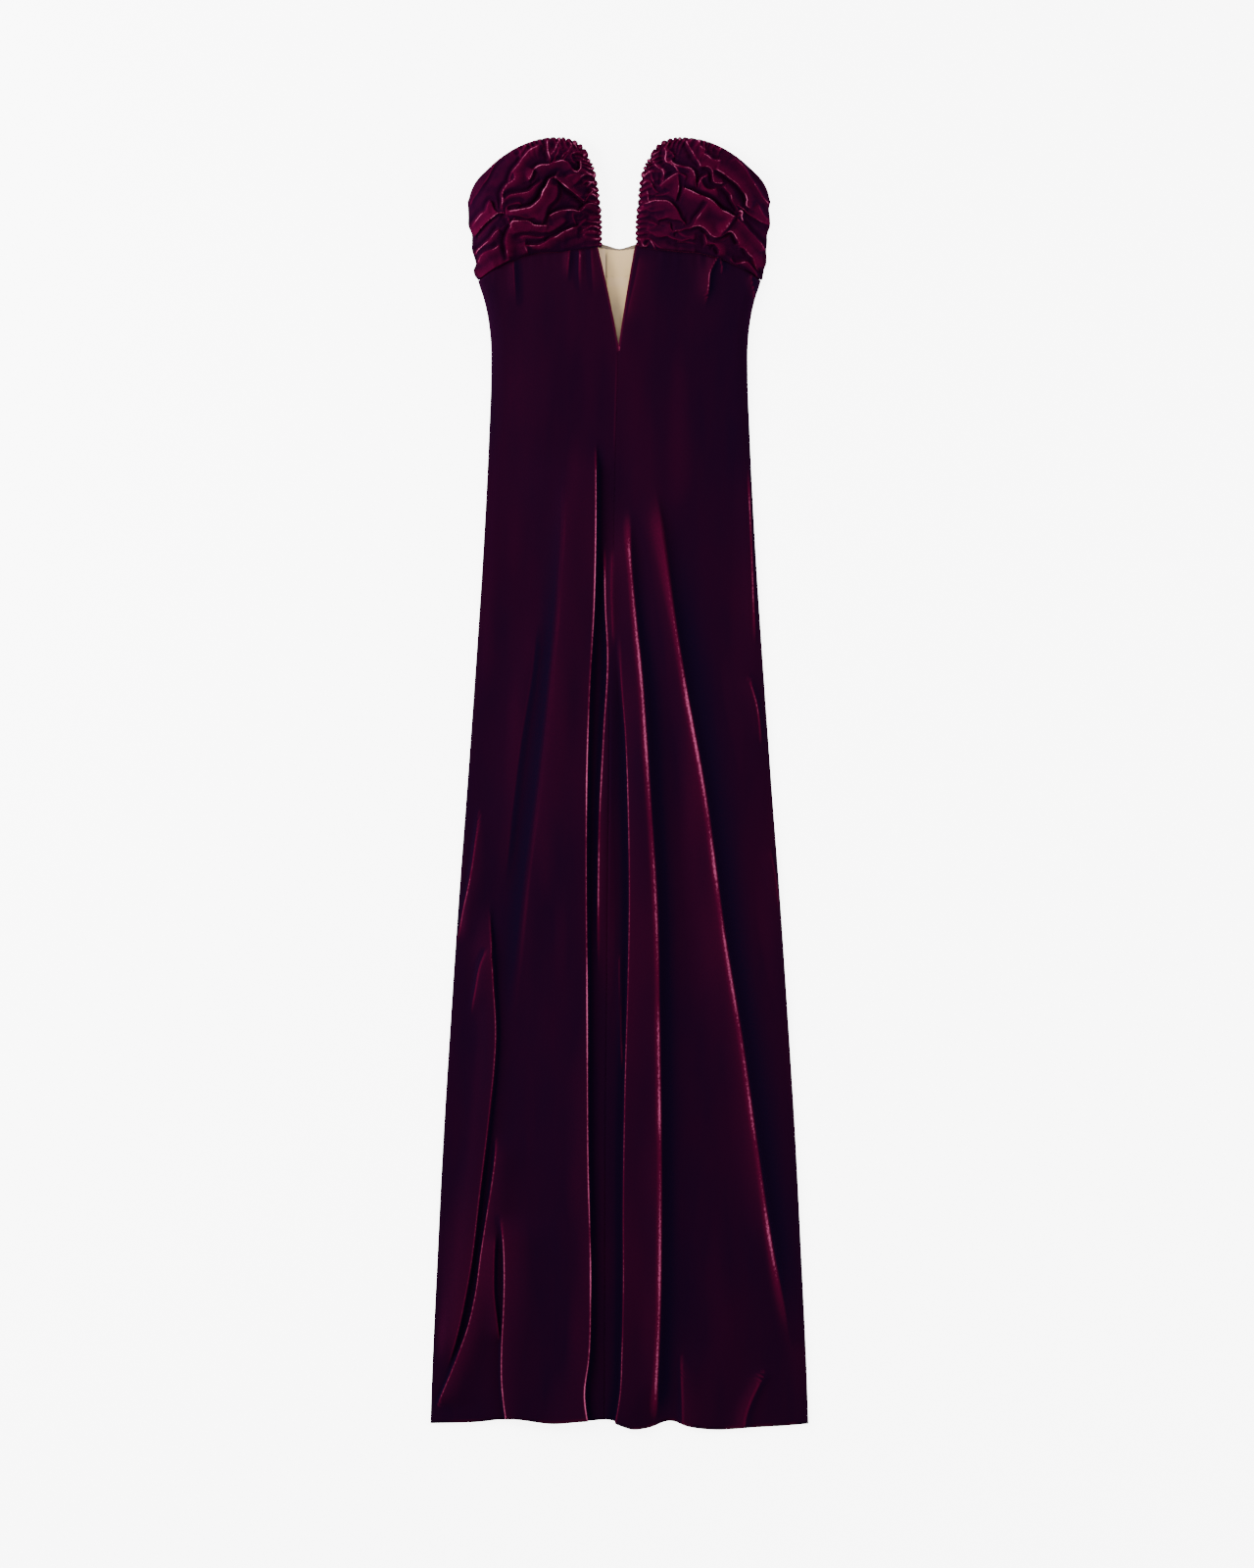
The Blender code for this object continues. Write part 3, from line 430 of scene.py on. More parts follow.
# `soft` widens the painted crest highlight toward its gentle side and `broad` near its top. `lead` is the way
# to the painted shade of the hollow.
foldExtras = dict(
    broadRidge=dict(soft=0.8),
    longDiagonal=dict(soft=0.7, broad=4.0),
    leftSoft=dict(lead=4.5),
)
frontLook = dict(
    columns=150,
    rows=300,
    thickness=0.9,
    evenAbove=560.0,
    edgeCalm=14.0,
    pushReach=8.0,
    wrinkle=0.35,
    # Painted light: lighter where the wrinkles rise.
    wrinklePaintedLight=0.06,
    pucker=0.8,
    puckerReach=16.0,
    # Painted highlight along the V's edges.
    vEdge=0.46,
    vEdgeWide=2.2,
    vFade=(500.0, 488.0),
    # Painted highlight along a pucker beside the centre seam.
    seamPuckerHighlight=0.14,
    seamTop=(500.0, 460.0),
    seamEnd=(375.0, 410.0),
    # Painted highlight along the hem.
    hemGlow=0.30,
    hemGlowReach=2.0,
    length=1340.0,
    broadReach=190.0,
    deepHollow=12.0,
    deepFade=230.0,
    light=(-1.0, 0.15),
    lightShare=0.10,
    folds=[dict(zip(foldColumns, row), **foldExtras.get(row[0], {})) for row in foldRows],
)


# Where a fold's crest is at each height, and how much of the fold is there.
def foldReach(fold, y):
    path = np.array(fold["path"][::-1], float)
    present = ease(path[-1, 1], path[-1, 1] - fold["fadeTop"], y)
    if fold["fadeEnd"]:
        present = present * ease(path[0, 1], path[0, 1] + fold["fadeEnd"], y)
    crest = smooth(y, path[:, 1], path[:, 0]) - fold["lap"] * present
    return crest, present


# Columns lie closer together where a fold is sharp.
def frontColumns(y, side, look):
    fine = np.linspace(0.0, 1.0, 500)
    edge = side * halfWidth(y)
    x = edge + (frontEdgeX(y, side) - edge) * fine
    weight = np.ones_like(fine)
    for fold in look["folds"]:
        crest, present = foldReach(fold, np.array([y]))
        sharp = min(fold["left"], fold["right"])
        toward = 1.0 if fold["right"] < fold["left"] else -1.0
        near = (x - crest - toward * 0.5 * sharp) / (1.1 * sharp + 1.5)
        weight += 0.7 * fold["rise"] * present * np.exp(-(near**2))
    weight += 2.0 * bell(fine * abs(edge), 7.0)
    reach = np.concatenate([[0.0], np.cumsum((weight[1:] + weight[:-1]) / 2)])
    return np.interp(np.linspace(0.0, reach[-1], look["columns"] + 1), reach, fine)


# The painted highlight on a fold's crest, the painted light on its flank and the painted shade of its
# hollow, at `off` from the crest.
def foldShade(fold, off, y, present, look):
    pathTop = fold["path"][0][1]
    steep = 1.0 if (fold["lap"] or fold["left"] - fold["right"]) > 0 else -1.0
    into = off * steep
    uneven = 0.85 + 0.3 * softNoise(y / 47.0, fold["rise"] * 3.0, 12.0)
    top = ease(pathTop - look["broadReach"], pathTop, y) * fold.get("broad", 0.0)
    width = (fold["wide"] * (2.0 - present) + top) * np.where(into < 0, 1.0 + fold.get("soft", 0.0), 1.0)
    line = fold["line"] * bell(off, width) * uneven / (1.0 + 0.16 * top)
    glow = fold["glow"] * np.exp(-np.abs(np.minimum(into, 0.0)) / fold["reach"]) * ease(1.5, -0.5, into)
    lead = fold.get("lead", 0.0)
    dark = fold["dark"] * ease(0.6 + 0.4 * lead, 2.2 + 1.4 * lead, into)
    dark = dark * np.exp(-((np.maximum(into - 1.5, 0.0) / (fold["hollow"] + lead)) ** 3))
    if fold["hollow"] > look["deepHollow"]:
        dark = dark * ease(pathTop, pathTop - look["deepFade"], y)
    return line * present, glow * present, dark * present


def frontPlace(side, look):
    def place(u, v):
        rows, bare, shade = [], [], []
        for share in v[:, 0]:
            guess = gown["hemY"] + (gown["underbustY"] - gown["hemY"]) * share
            warped = frontColumns(min(guess, look["evenAbove"]), side, look)
            x = side * halfWidth(guess) * (1 - warped) + frontEdgeX(guess, side) * warped
            for _ in range(3):
                y = gown["hemY"] + (seamY(np.abs(x)) - gown["seamGap"] / 2 - gown["hemY"]) * share
                x = side * halfWidth(y) * (1 - warped) + frontEdgeX(y, side) * warped
            drop = smooth(x, *zip(*hemWaves))
            y = y - drop * (1 - share) ** 6
            inEdge = ease(0.0, look["edgeCalm"], halfWidth(y) - np.abs(x))
            relief, push, lines, glows, darks = np.zeros((5, len(x)))
            for fold in look["folds"]:
                crest, present = foldReach(fold, y)
                off = x - crest
                width = np.where(off < 0, fold["left"], fold["right"])
                relief = relief + fold["rise"] * present * bell(off, width) * inEdge
                steep = off * fold["lap"] > 0
                reach = np.where(steep, np.minimum(width, look["pushReach"]), look["pushReach"])
                push = push + fold["lap"] * present * inEdge * bell(off, reach)
                line, glow, dark = foldShade(fold, off, y, present, look)
                lines, glows, darks = np.maximum(lines, line), glows + glow, np.maximum(darks, dark)
            wave = softNoise(x / 38.0 + 7, y / 190.0, 3.0) + 0.5 * softNoise(x / 17.0, y / 90.0, 8.0)
            below = seamY(np.abs(x)) - y
            pucker = softNoise(x / 5.5, y / 60.0, 15.0) * bell(below, look["puckerReach"])
            pucker = pucker * ease(0.0, 4.0, below)
            relief = relief + (look["wrinkle"] * (wave + 1.0) + look["pucker"] * pucker) * inEdge
            rows.append(np.stack([x + push, y, frontHeight(x, y) + relief], axis=-1))
            bare.append(relief)
            # Painted light and shade: lit flanks and crest highlights, shaded hollows, lighter wrinkle rises,
            # and painted highlights along the seam pucker, the hem and the V's edges.
            pileAndPaintedLight = np.minimum(glows, 0.5) * (1 - darks) - darks * (1 - np.minimum(lines, 1.0))
            pileAndPaintedLight = pileAndPaintedLight + look["wrinklePaintedLight"] * wave
            inner = x - frontEdgeX(y, side)
            seamPuckerHighlight = look["seamPuckerHighlight"] * bell(inner + 2.0, 0.8)
            seamPuckerHighlight = seamPuckerHighlight * ease(*look["seamTop"], y) * ease(*look["seamEnd"], y)
            hemGlow = look["hemGlow"] * bell(share * look["length"], look["hemGlowReach"])
            pileAndPaintedLight = pileAndPaintedLight + seamPuckerHighlight + hemGlow * (0.5 + softNoise(x / 9.0, 0.0, 33.0))
            fromV = np.abs(inner) + 40.0 * ease(*look["vFade"], y)
            lines = np.maximum(lines, look["vEdge"] * bell(fromV, look["vEdgeWide"]))
            onLine = ease(0.0, 0.2, lines)
            shade.append(np.maximum(pileAndPaintedLight, lines) * onLine + pileAndPaintedLight * (1 - onLine))
        points, bare, shade = np.array(rows), np.array(bare), np.array(shade)
        if side > 0:
            points, bare, shade = points[:, ::-1], bare[:, ::-1], shade[:, ::-1]
        return points, shade + paintedSlopeLight(points, bare, look["light"], look["lightShare"])
    return place


for word, side in (("left", -1), ("right", 1)):
    piece = gridObject(f"frontPanel_{word}", frontLook, frontPlace(side, frontLook), velvet)
    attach(piece, "root")
    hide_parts(f"front_{word}")

print("bar tack")
tackLook = dict(
    low=497.4,
    high=501.4,
    count=6,
    length=2.0,
    thick=0.4,
    height=12.8,
    turn=0.2,
    shader={"Base Color": (0.14, 0.010, 0.045), "Roughness": 0.6, "Specular IOR Level": 0.1},
)
thread = newMaterial("wineThread", tackLook["shader"])
bm = bmesh.new()
for count in range(tackLook["count"]):
    share = count / (tackLook["count"] - 1)
    y = tackLook["low"] + (tackLook["high"] - tackLook["low"]) * share
    length = tackLook["length"] * (1.0 - 0.25 * abs(2 * share - 1))
    turn = Matrix.Rotation(tackLook["turn"] * math.sin(count * 2.4), 4, "Z")
    place = Matrix.Translation(Vector((0.1 * math.cos(count * 3.1), y, tackLook["height"])) * mm)
    size = Matrix.Diagonal((length * mm, tackLook["thick"] * mm, tackLook["thick"] * mm, 1))
    bmesh.ops.create_icosphere(bm, subdivisions=2, radius=0.5, matrix=place @ turn @ size)
tackMesh = meshOf(bm, "barTack")
tackMesh.shade_smooth()
tackMesh.materials.append(thread)
tack = newObject("barTack", tackMesh)
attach(tack, "root")

print("cups")
onLeft, onRight = 1, -1
cupLook = dict(
    columns=206,
    rows=206,
    thickness=0.9,
    width=130.0,
    height=110.0,
    wall=2.4,
    crown=25.0,
    edgeZ=14.0,
    wide=7.0,
    sharp=2.2,
    lift=0.95,
    carve=2.6,
    lap=2.0,
    wander=0.8,
    fade=3.0,
    # Painted light on the ruches: the width and strength of their crest highlights, the reach of the painted
    # light on their flanks and the width of the painted shade in their hollows.
    lineWidth=0.8,
    lineGain=1.15,
    flank=9.0,
    hollow=4.6,
    crumple=0.35,
    gather=1.5,
    gatherReach=11.0,
    shirr=0.6,
    overhang=2.4,
    sideFade=0.04,
    tuckShare=0.024,
    tuckDepth=4.5,
    # How strong the painted light on the ruches and gathers is, and the painted shade in the gathers' dips
    # and along the seam.
    glowGain=0.9,
    gatherGlow=0.28,
    gatherDark=0.8,
    seamShade=2.4,
    light=(-0.8, 0.6),
    lightShare=0.12,
)
casingLook = dict(
    columns=18,
    rows=260,
    radius=2.6,
    onTop=0.42,
    taper=0.93,
    pitch=7.6,
    uneven=0.45,
    least=0.55,
    swell=0.72,
    bulge=0.32,
    fine=0.05,
    sink=2.4,
    # Painted light on the casing's top and its gathers' swells, painted shade in the pits and underneath.
    glow=0.20,
    crest=0.6,
    pit=0.4,
    under=0.3,
)
# A ruche's row: how high it rises, the side of the way it runs on which it drops sharply, how bright its
# crest's painted highlight and its gentle side's painted light are, how dark the painted shade of the hollow
# under its steep side is, and its crest's path, as distances out from the centre line and up from the
# underbust.
leftRuches = [
    (1.6, onRight, 0.45, 0.06, 0.25, [(134, 114), (141, 107), (148, 95), (155, 84), (163, 72), (169, 63),
        (170, 58)]),
    (2.2, onLeft, 0.45, 0.20, 0.60, [(108, 126), (112, 117), (115, 112)]),
    (3.4, onLeft, 0.55, 0.55, 0.80, [(91, 126), (101, 121), (109, 112), (116, 103), (121, 97), (124, 89),
        (126, 83)]),
    (2.4, onLeft, 0.80, 0.05, 0.90, [(82, 133), (83, 127), (82, 120), (80, 114), (80, 106)]),
    (2.4, onLeft, 0.55, 0.30, 0.70, [(69, 133), (72, 126), (75, 119), (79, 114)]),
    (1.4, onLeft, 0.35, 0.20, 0.30, [(63, 134), (67, 129), (66, 124), (71, 120)]),
    (2.2, onRight, 0.50, 0.30, 0.60, [(52, 129), (58, 121), (64, 115), (67, 110)]),
    (2.6, onRight, 0.55, 0.30, 0.70, [(39, 119), (47, 120), (53, 118), (55, 113), (54, 108), (50, 105)]),
    (3.6, onLeft, 0.60, 0.65, 0.60, [(105, 85), (101, 88), (99, 94), (97, 99)]),
    (4.2, onRight, 0.70, 0.38, 0.95, [(98, 97), (95, 100), (91, 102), (79, 104), (72, 106), (66, 108),
        (61, 106), (58, 103), (54, 98), (50, 96), (46, 97), (43, 101), (44, 106), (46, 110)]),
    (3.8, onLeft, 0.55, 0.42, 0.90, [(119, 95), (118, 90), (119, 86), (123, 83), (128, 80), (131, 76),
        (134, 69), (134, 60), (133, 52)]),
    (4.6, onRight, 0.45, 0.42, 1.00, [(130, 63), (126, 67), (119, 69), (109, 70), (103, 72), (98, 77),
        (93, 81), (88, 83)]),
    (2.6, onRight, 0.50, 0.35, 0.30, [(129, 44), (129, 51), (126, 56), (121, 58), (114, 59), (111, 56)]),
    (5.6, onRight, 0.75, 0.50, 1.00, [(126, 50), (116, 52), (106, 53), (100, 55), (95, 59), (90, 66),
        (87, 73), (83, 80), (80, 86), (75, 89), (69, 90)]),
    (5.2, onLeft, 0.85, 0.42, 1.00, [(75, 89), (69, 85), (63, 80), (57, 75), (52, 71), (47, 67), (42, 63),
        (38, 61)]),
    (3.8, onRight, 0.35, 0.30, 0.90, [(72, 80), (71, 71), (75, 63), (81, 57), (84, 51), (86, 45), (88, 40),
        (89, 35)]),
    (3.0, onLeft, 0.45, 0.35, 1.00, [(129, 45), (121, 44), (112, 43), (104, 42), (97, 43), (93, 40)]),
    (4.4, onRight, 0.70, 0.40, 0.90, [(124, 33), (120, 37), (114, 38), (106, 39), (102, 38), (98, 35),
        (92, 34), (86, 34), (81, 34)]),
    (4.8, onRight, 0.70, 0.28, 1.00, [(81, 44), (75, 48), (69, 50), (61, 51), (53, 51), (45, 51), (42, 53),
        (38, 57), (34, 59), (25, 60)]),
    (3.0, onRight, 0.60, 0.40, 0.50, [(38, 61), (36, 67), (33, 72), (29, 75), (24, 77)]),
    (2.4, onRight, 0.50, 0.35, 0.40, [(62, 88), (56, 91), (50, 92), (45, 95), (43, 100)]),
    (2.6, onLeft, 0.55, 0.40, 0.50, [(53, 81), (47, 85), (42, 90), (36, 93), (28, 92)]),
    (2.2, onRight, 0.60, 0.40, 0.60, [(37, 78), (34, 81), (31, 84), (26, 86)]),
    (3.8, onLeft, 0.55, 0.42, 0.80, [(119, 42), (121, 36), (124, 30), (128, 23), (130, 15), (129, 5),
        (127, -3)]),
    (1.8, onLeft, 0.45, 0.20, 0.40, [(129, 44), (126, 38), (124, 33)]),
    (3.0, onLeft, 0.30, 0.30, 0.70, [(121, 24), (114, 26), (103, 27), (93, 26), (84, 26), (78, 28), (72, 31),
        (65, 35), (60, 40)]),
    (4.6, onRight, 0.62, 0.40, 0.90, [(108, 11), (99, 11), (92, 12), (84, 15), (76, 20), (67, 24), (59, 28),
        (52, 31), (45, 31)]),
    (2.2, onRight, 0.48, 0.45, 0.40, [(43, 27), (36, 31), (31, 34), (25, 32)]),
    (2.6, onRight, 0.55, 0.20, 0.50, [(109, 15), (108, 10), (105, 3), (103, -2)]),
    (4.2, onLeft, 0.62, 0.30, 0.95, [(137, 30), (142, 26), (148, 18), (155, 12), (161, 7), (165, 2)]),
    (4.6, onRight, 0.68, 0.42, 1.00, [(129, 47), (136, 48), (142, 45), (149, 40), (156, 34), (162, 28),
        (166, 23)]),
    (3.4, onLeft, 0.50, 0.30, 0.60, [(134, 47), (140, 49), (144, 52), (146, 57), (148, 61), (151, 56),
        (153, 51), (159, 47), (165, 41), (169, 33)]),
    (3.4, onLeft, 0.50, 0.25, 0.60, [(137, 11), (144, 7), (152, 3), (158, -1), (163, -8)]),
    (3.0, onRight, 0.50, 0.30, 0.50, [(123, -2), (133, -7), (143, -12), (152, -18), (158, -24)]),
    (2.4, onRight, 0.40, 0.30, 0.60, [(114, 20), (110, 21), (104, 21), (94, 20), (85, 21)]),
    (2.2, onRight, 0.50, 0.30, 0.50, [(53, 44), (51, 39), (49, 34)]),
    (2.0, onLeft, 0.46, 0.45, 0.60, [(35, 44), (31, 41), (25, 41)]),
    (1.6, onLeft, 0.45, 0.25, 0.50, [(66.7, 131), (69.4, 120), (74.1, 109.8), (79, 99)]),
    (1.4, onLeft, 0.40, 0.20, 0.40, [(59.5, 133), (62, 128), (61.6, 124.7), (64, 121.6), (68, 120.2)]),
    (1.6, onLeft, 0.45, 0.20, 0.60, [(49.4, 131), (52.8, 127), (56.7, 122.2), (62, 114), (65.8, 108.7)]),
    (1.4, onRight, 0.35, 0.20, 0.50, [(54, 123), (58, 117), (60.5, 113.5)]),
    (1.6, onRight, 0.50, 0.30, 0.60, [(40, 116), (43.6, 117.5), (48, 118.2), (52.5, 116)]),
    (1.6, onLeft, 0.45, 0.30, 0.50, [(46, 108), (43, 103), (42.5, 99), (45, 95.6)]),
    (1.4, onLeft, 0.50, 0.25, 0.40, [(37.4, 111), (38.3, 107.6), (34, 106.5)]),
    (1.8, onRight, 0.55, 0.35, 0.50, [(38, 93.1), (34, 93.4), (29.6, 92.3)]),
    (1.4, onLeft, 0.40, 0.20, 0.40, [(42, 82), (38, 85), (35, 87.5)]),
    (1.4, onLeft, 0.35, 0.20, 0.50, [(52, 47), (53.5, 43), (51, 39.5)]),
    (1.6, onRight, 0.40, 0.35, 0.50, [(45, 33.6), (41, 38.5), (36.6, 41.4)]),
    (1.8, onLeft, 0.50, 0.35, 0.40, [(37, 50), (35.5, 48.5), (34.5, 47.6)]),
    (2.0, onRight, 0.46, 0.45, 0.50, [(42, 22), (36, 26), (29, 28), (24, 27)]),
]
rightRuches = [
    (2.8, onRight, 0.65, 0.12, 0.50, [(76, 133), (79, 127), (83, 119), (87, 112), (91, 106), (93, 100)]),
    (3.2, onLeft, 0.62, 0.42, 0.60, [(92, 132), (92, 126), (95, 122), (97, 116), (101, 114), (107, 109),
        (112, 108), (117, 109)]),
    (1.8, onLeft, 0.60, 0.30, 0.30, [(97, 131), (97, 124), (97, 117)]),
    (2.4, onLeft, 0.55, 0.40, 0.70, [(53, 129), (56, 122), (61, 117), (63, 113), (65, 112)]),
    (3.0, onRight, 0.70, 0.45, 0.70, [(50, 125), (52, 119), (53, 109), (59, 103), (63, 100), (67, 95),
        (68, 93)]),
    (4.0, onLeft, 0.68, 0.38, 0.95, [(59, 110), (64, 105), (70, 102), (75, 100), (79, 100), (84, 96),
        (86, 91), (87, 84), (88, 76)]),
    (3.0, onRight, 0.60, 0.42, 0.80, [(36, 113), (40, 107), (44, 101), (48, 98), (50, 93), (50, 88), (49, 82),
        (47, 79)]),
    (3.6, onLeft, 0.60, 0.42, 0.80, [(46, 78), (52, 82), (56, 87), (61, 91), (66, 93), (71, 92), (75, 90),
        (78, 89)]),
    (2.8, onLeft, 0.60, 0.30, 0.60, [(65, 91), (67, 86), (68, 78), (66, 70), (65, 64), (64, 61)]),
    (5.8, onLeft, 0.75, 0.50, 1.00, [(73, 76), (79, 74), (87, 70), (94, 67), (101, 64), (107, 60), (111, 56),
        (117, 51), (123, 48), (130, 44), (133, 44)]),
    (3.4, onRight, 0.62, 0.45, 0.60, [(93, 102), (99, 102), (103, 100), (107, 95), (108, 88), (109, 83),
        (114, 82), (120, 83)]),
    (2.6, onLeft, 0.45, 0.30, 0.80, [(90, 76), (91, 82), (94, 87), (99, 90), (102, 91)]),
    (3.2, onLeft, 0.55, 0.55, 0.50, [(94, 86), (96, 81), (99, 76), (103, 74), (110, 74), (113, 75)]),
    (4.6, onRight, 0.70, 0.35, 1.00, [(110, 99), (116, 96), (123, 91), (130, 86), (136, 80), (140, 74),
        (145, 68), (147, 63), (146, 58), (152, 53)]),
    (3.8, onRight, 0.58, 0.20, 0.90, [(119, 79), (123, 74), (128, 68), (130, 62), (133, 55), (136, 49)]),
    (3.0, onLeft, 0.90, 0.70, 0.50, [(136, 49), (140, 51), (141, 48), (140, 45), (141, 38)]),
    (2.0, onLeft, 0.60, 0.14, 0.30, [(133, 113), (139, 105), (145, 97), (150, 89), (155, 82), (160, 74),
        (165, 66), (172, 59)]),
    (3.4, onRight, 0.50, 0.30, 0.60, [(135, 59), (141, 54), (147, 48), (154, 44), (162, 40), (168, 37),
        (172, 33)]),
    (2.0, onLeft, 0.50, 0.25, 0.30, [(159, 58), (162, 52), (165, 48), (172, 42)]),
    (4.2, onLeft, 0.52, 0.25, 0.90, [(134, 42), (139, 37), (145, 31), (150, 26), (157, 19), (163, 13),
        (167, 7)]),
    (3.6, onLeft, 0.40, 0.60, 0.95, [(133, 44), (129, 38), (124, 33), (118, 28), (114, 24)]),
    (3.4, onRight, 0.48, 0.22, 0.35, [(101, 58), (98, 54), (93, 47), (88, 41), (84, 35), (78, 32), (71, 29),
        (64, 28), (61, 26)]),
    (3.8, onLeft, 0.58, 0.34, 0.50, [(25, 60), (32, 60), (39, 62), (48, 62), (55, 61), (60, 58), (64, 54),
        (69, 47), (72, 41), (76, 35)]),
    (1.4, onRight, 0.25, 0.15, 0.10, [(31, 51), (37, 51), (44, 52), (54, 52)]),
    (3.4, onRight, 0.42, 0.35, 1.00, [(42, 40), (48, 42), (55, 43), (61, 41), (67, 40), (74, 37)]),
    (2.0, onLeft, 0.55, 0.35, 0.40, [(32, 38), (38, 37), (44, 34)]),
    (2.4, onLeft, 0.50, 0.25, 0.60, [(57, 38), (57, 33), (60, 28), (62, 26)]),
    (2.6, onRight, 0.40, 0.30, 0.30, [(30, 30), (36, 26), (42, 23), (48, 22), (55, 22), (61, 19), (71, 18),
        (80, 19), (88, 19)]),
    (1.4, onRight, 0.30, 0.20, 0.20, [(64, 27), (71, 24), (78, 22), (85, 22)]),
    (5.0, onRight, 0.62, 0.45, 1.00, [(61, 26), (73, 29), (82, 30), (87, 32), (93, 33), (98, 30), (101, 27),
        (104, 24), (109, 21), (115, 22), (119, 24), (124, 26), (129, 26), (132, 23), (134, 19), (137, 14),
        (137, 11)]),
    (3.6, onRight, 0.55, 0.35, 0.70, [(138, 9), (142, 10), (146, 6), (148, 2), (153, -3), (156, -8),
        (158, -15)]),
    (2.8, onRight, 0.60, 0.35, 1.00, [(97, 25), (99, 19), (101, 11)]),
    (1.6, onRight, 0.35, 0.20, 0.20, [(66, 16), (74, 16), (80, 15), (87, 14)]),
    (2.8, onRight, 0.48, 0.30, 0.70, [(30, 20.5), (36.6, 16.8), (42.7, 13.8), (50, 9.7), (58.7, 5.7),
        (67.3, 3.5), (77.3, 2.4), (88, 3.5)]),
    (1.6, onLeft, 0.45, 0.20, 0.50, [(45.7, 104.7), (50.7, 98.6), (53.7, 94.6), (54.7, 93.1)]),
    (1.4, onRight, 0.35, 0.20, 0.40, [(31.6, 99.9), (35.6, 98.9), (38.6, 96.6), (41.2, 95.1)]),
    (1.6, onLeft, 0.60, 0.40, 0.40, [(26.6, 88.1), (31.6, 86.6), (34.6, 83.1)]),
    (1.4, onRight, 0.40, 0.25, 0.40, [(31.6, 85.1), (29.1, 83.6), (26.6, 81.1)]),
    (1.2, onLeft, 0.22, 0.15, 0.30, [(23.6, 48.4), (27.6, 45.4), (31.6, 40.9)]),
    (1.4, onRight, 0.40, 0.25, 0.40, [(25.1, 14.8), (27.1, 12.2), (29.6, 11.2)]),
    (1.6, onRight, 0.30, 0.35, 0.50, [(38, 11), (41.2, 8.2), (40.5, 6)]),
    (4.0, onRight, 0.62, 0.45, 0.80, [(103, 13), (109, 13), (112, 10), (115, 5), (114, 2)]),
    (3.4, onLeft, 0.50, 0.22, 0.60, [(127, -2), (132, -6), (139, -7), (147, -8), (152, -13), (156, -20),
        (159, -28)]),
    (1.8, onRight, 0.50, 0.25, 0.30, [(152, -6), (157, -12), (158, -17)]),
    (2.2, onLeft, 0.60, 0.40, 0.60, [(32, 86), (36, 81), (40, 75), (46, 70)]),
    (2.0, onLeft, 0.60, 0.40, 0.60, [(31, 75), (33, 70), (32, 64), (35, 59)]),
    (1.8, onLeft, 0.50, 0.35, 0.40, [(24, 58), (29, 54), (36, 52)]),
    (1.8, onLeft, 0.50, 0.35, 0.50, [(31, 99), (36, 95), (37, 90), (40, 81)]),
    (2.0, onRight, 0.60, 0.60, 0.50, [(25, 21), (26, 17), (31, 12), (32, 16)]),
    (2.0, onLeft, 0.70, 0.55, 0.50, [(34, 19), (39, 13), (42, 8)]),
    (1.6, onLeft, 0.35, 0.25, 0.20, [(39, 68), (47, 68), (55, 70), (59, 73)]),
    (1.8, onRight, 0.40, 0.25, 0.60, [(109, 126), (112, 122), (118, 121)]),
]


def lengthOf(points):
    return np.linalg.norm(np.diff(np.array(points, float), axis=0), axis=1).sum()


innerLength, topLength = lengthOf(cupInner), lengthOf(cupTop)
cornerShare = innerLength / (innerLength + topLength)
casingShare = (innerLength + casingLook["onTop"] * topLength) / (innerLength + topLength)
gatherStart, casingStart = 0.008, -0.008


# A spot `back` from the cup's free edge, which runs up its inner side and out along its top.
def freeEdge(share, back):
    edge = np.array(cupInner[::-1] + cupTop[-2::-1], float)
    here, ahead, behind = along(edge, share), along(edge, share + 0.003), along(edge, share - 0.003)
    way = (ahead - behind) / np.linalg.norm(ahead - behind, axis=-1, keepdims=True)
    inward = np.stack([way[..., 1], -way[..., 0]], axis=-1)
    return here + inward * np.asarray(back)[..., None], way


def casingRadius(share):
    return casingLook["radius"] * (1 - casingLook["taper"] * ease(casingShare - 0.2, casingShare, share))


# The cup seen from above: its four edges, blended across.
def cupPlan(u, v):
    inner = freeEdge(cornerShare * v, 1.2 * casingRadius(cornerShare * v))[0]
    over = 1 - (1 - cornerShare) * u
    width = 1.2 * casingRadius(over) * ease(casingShare + 0.06, casingShare, over)
    top = freeEdge(over, width)[0]
    first, last = cupSeam[0][0], cupSeam[-1][0] + 1.2 * casingLook["radius"]
    reach = first + (last - first) * u
    seam = np.stack([reach, seamY(reach) + gown["seamGap"] / 2], axis=-1)
    side = along(cupSide, v) + np.stack([np.zeros_like(v), gown["seamGap"] / 2 * (1 - v)], axis=-1)
    u, v = u[..., None], v[..., None]
    low = (1 - u) * seam[0, 0] + u * seam[-1, -1]
    inner = inner + (1 - v) * (seam[-1, -1] - inner[0, 0])
    high = (1 - u) * side[-1, -1] + u * inner[-1, -1]
    return (1 - v) * seam + v * top + (1 - u) * side + u * inner - (1 - v) * low - v * high


def cupBase(u, v, plan):
    look = cupLook
    restZ = gown["backZ"] + gown["seamGap"] + look["wall"]
    seamZ = frontHeight(plan[..., 0], seamY(plan[..., 0]))
    sideZ = restZ + (look["edgeZ"] - restZ) * ease(0.0, 0.22, u)
    rimZ = sideZ + (gown["bodiceZ"] - look["edgeZ"]) * ease(0.4, 1.0, u) * (1 - v)
    edge = seamZ + (rimZ - seamZ) * ease(0.0, 0.5, v)
    edge = np.clip(edge, restZ, sideZ + 40.0 * u)
    crown = np.sin(math.pi * u) ** 0.8 * np.sin(math.pi * v) ** 0.8
    return edge + look["crown"] * crown


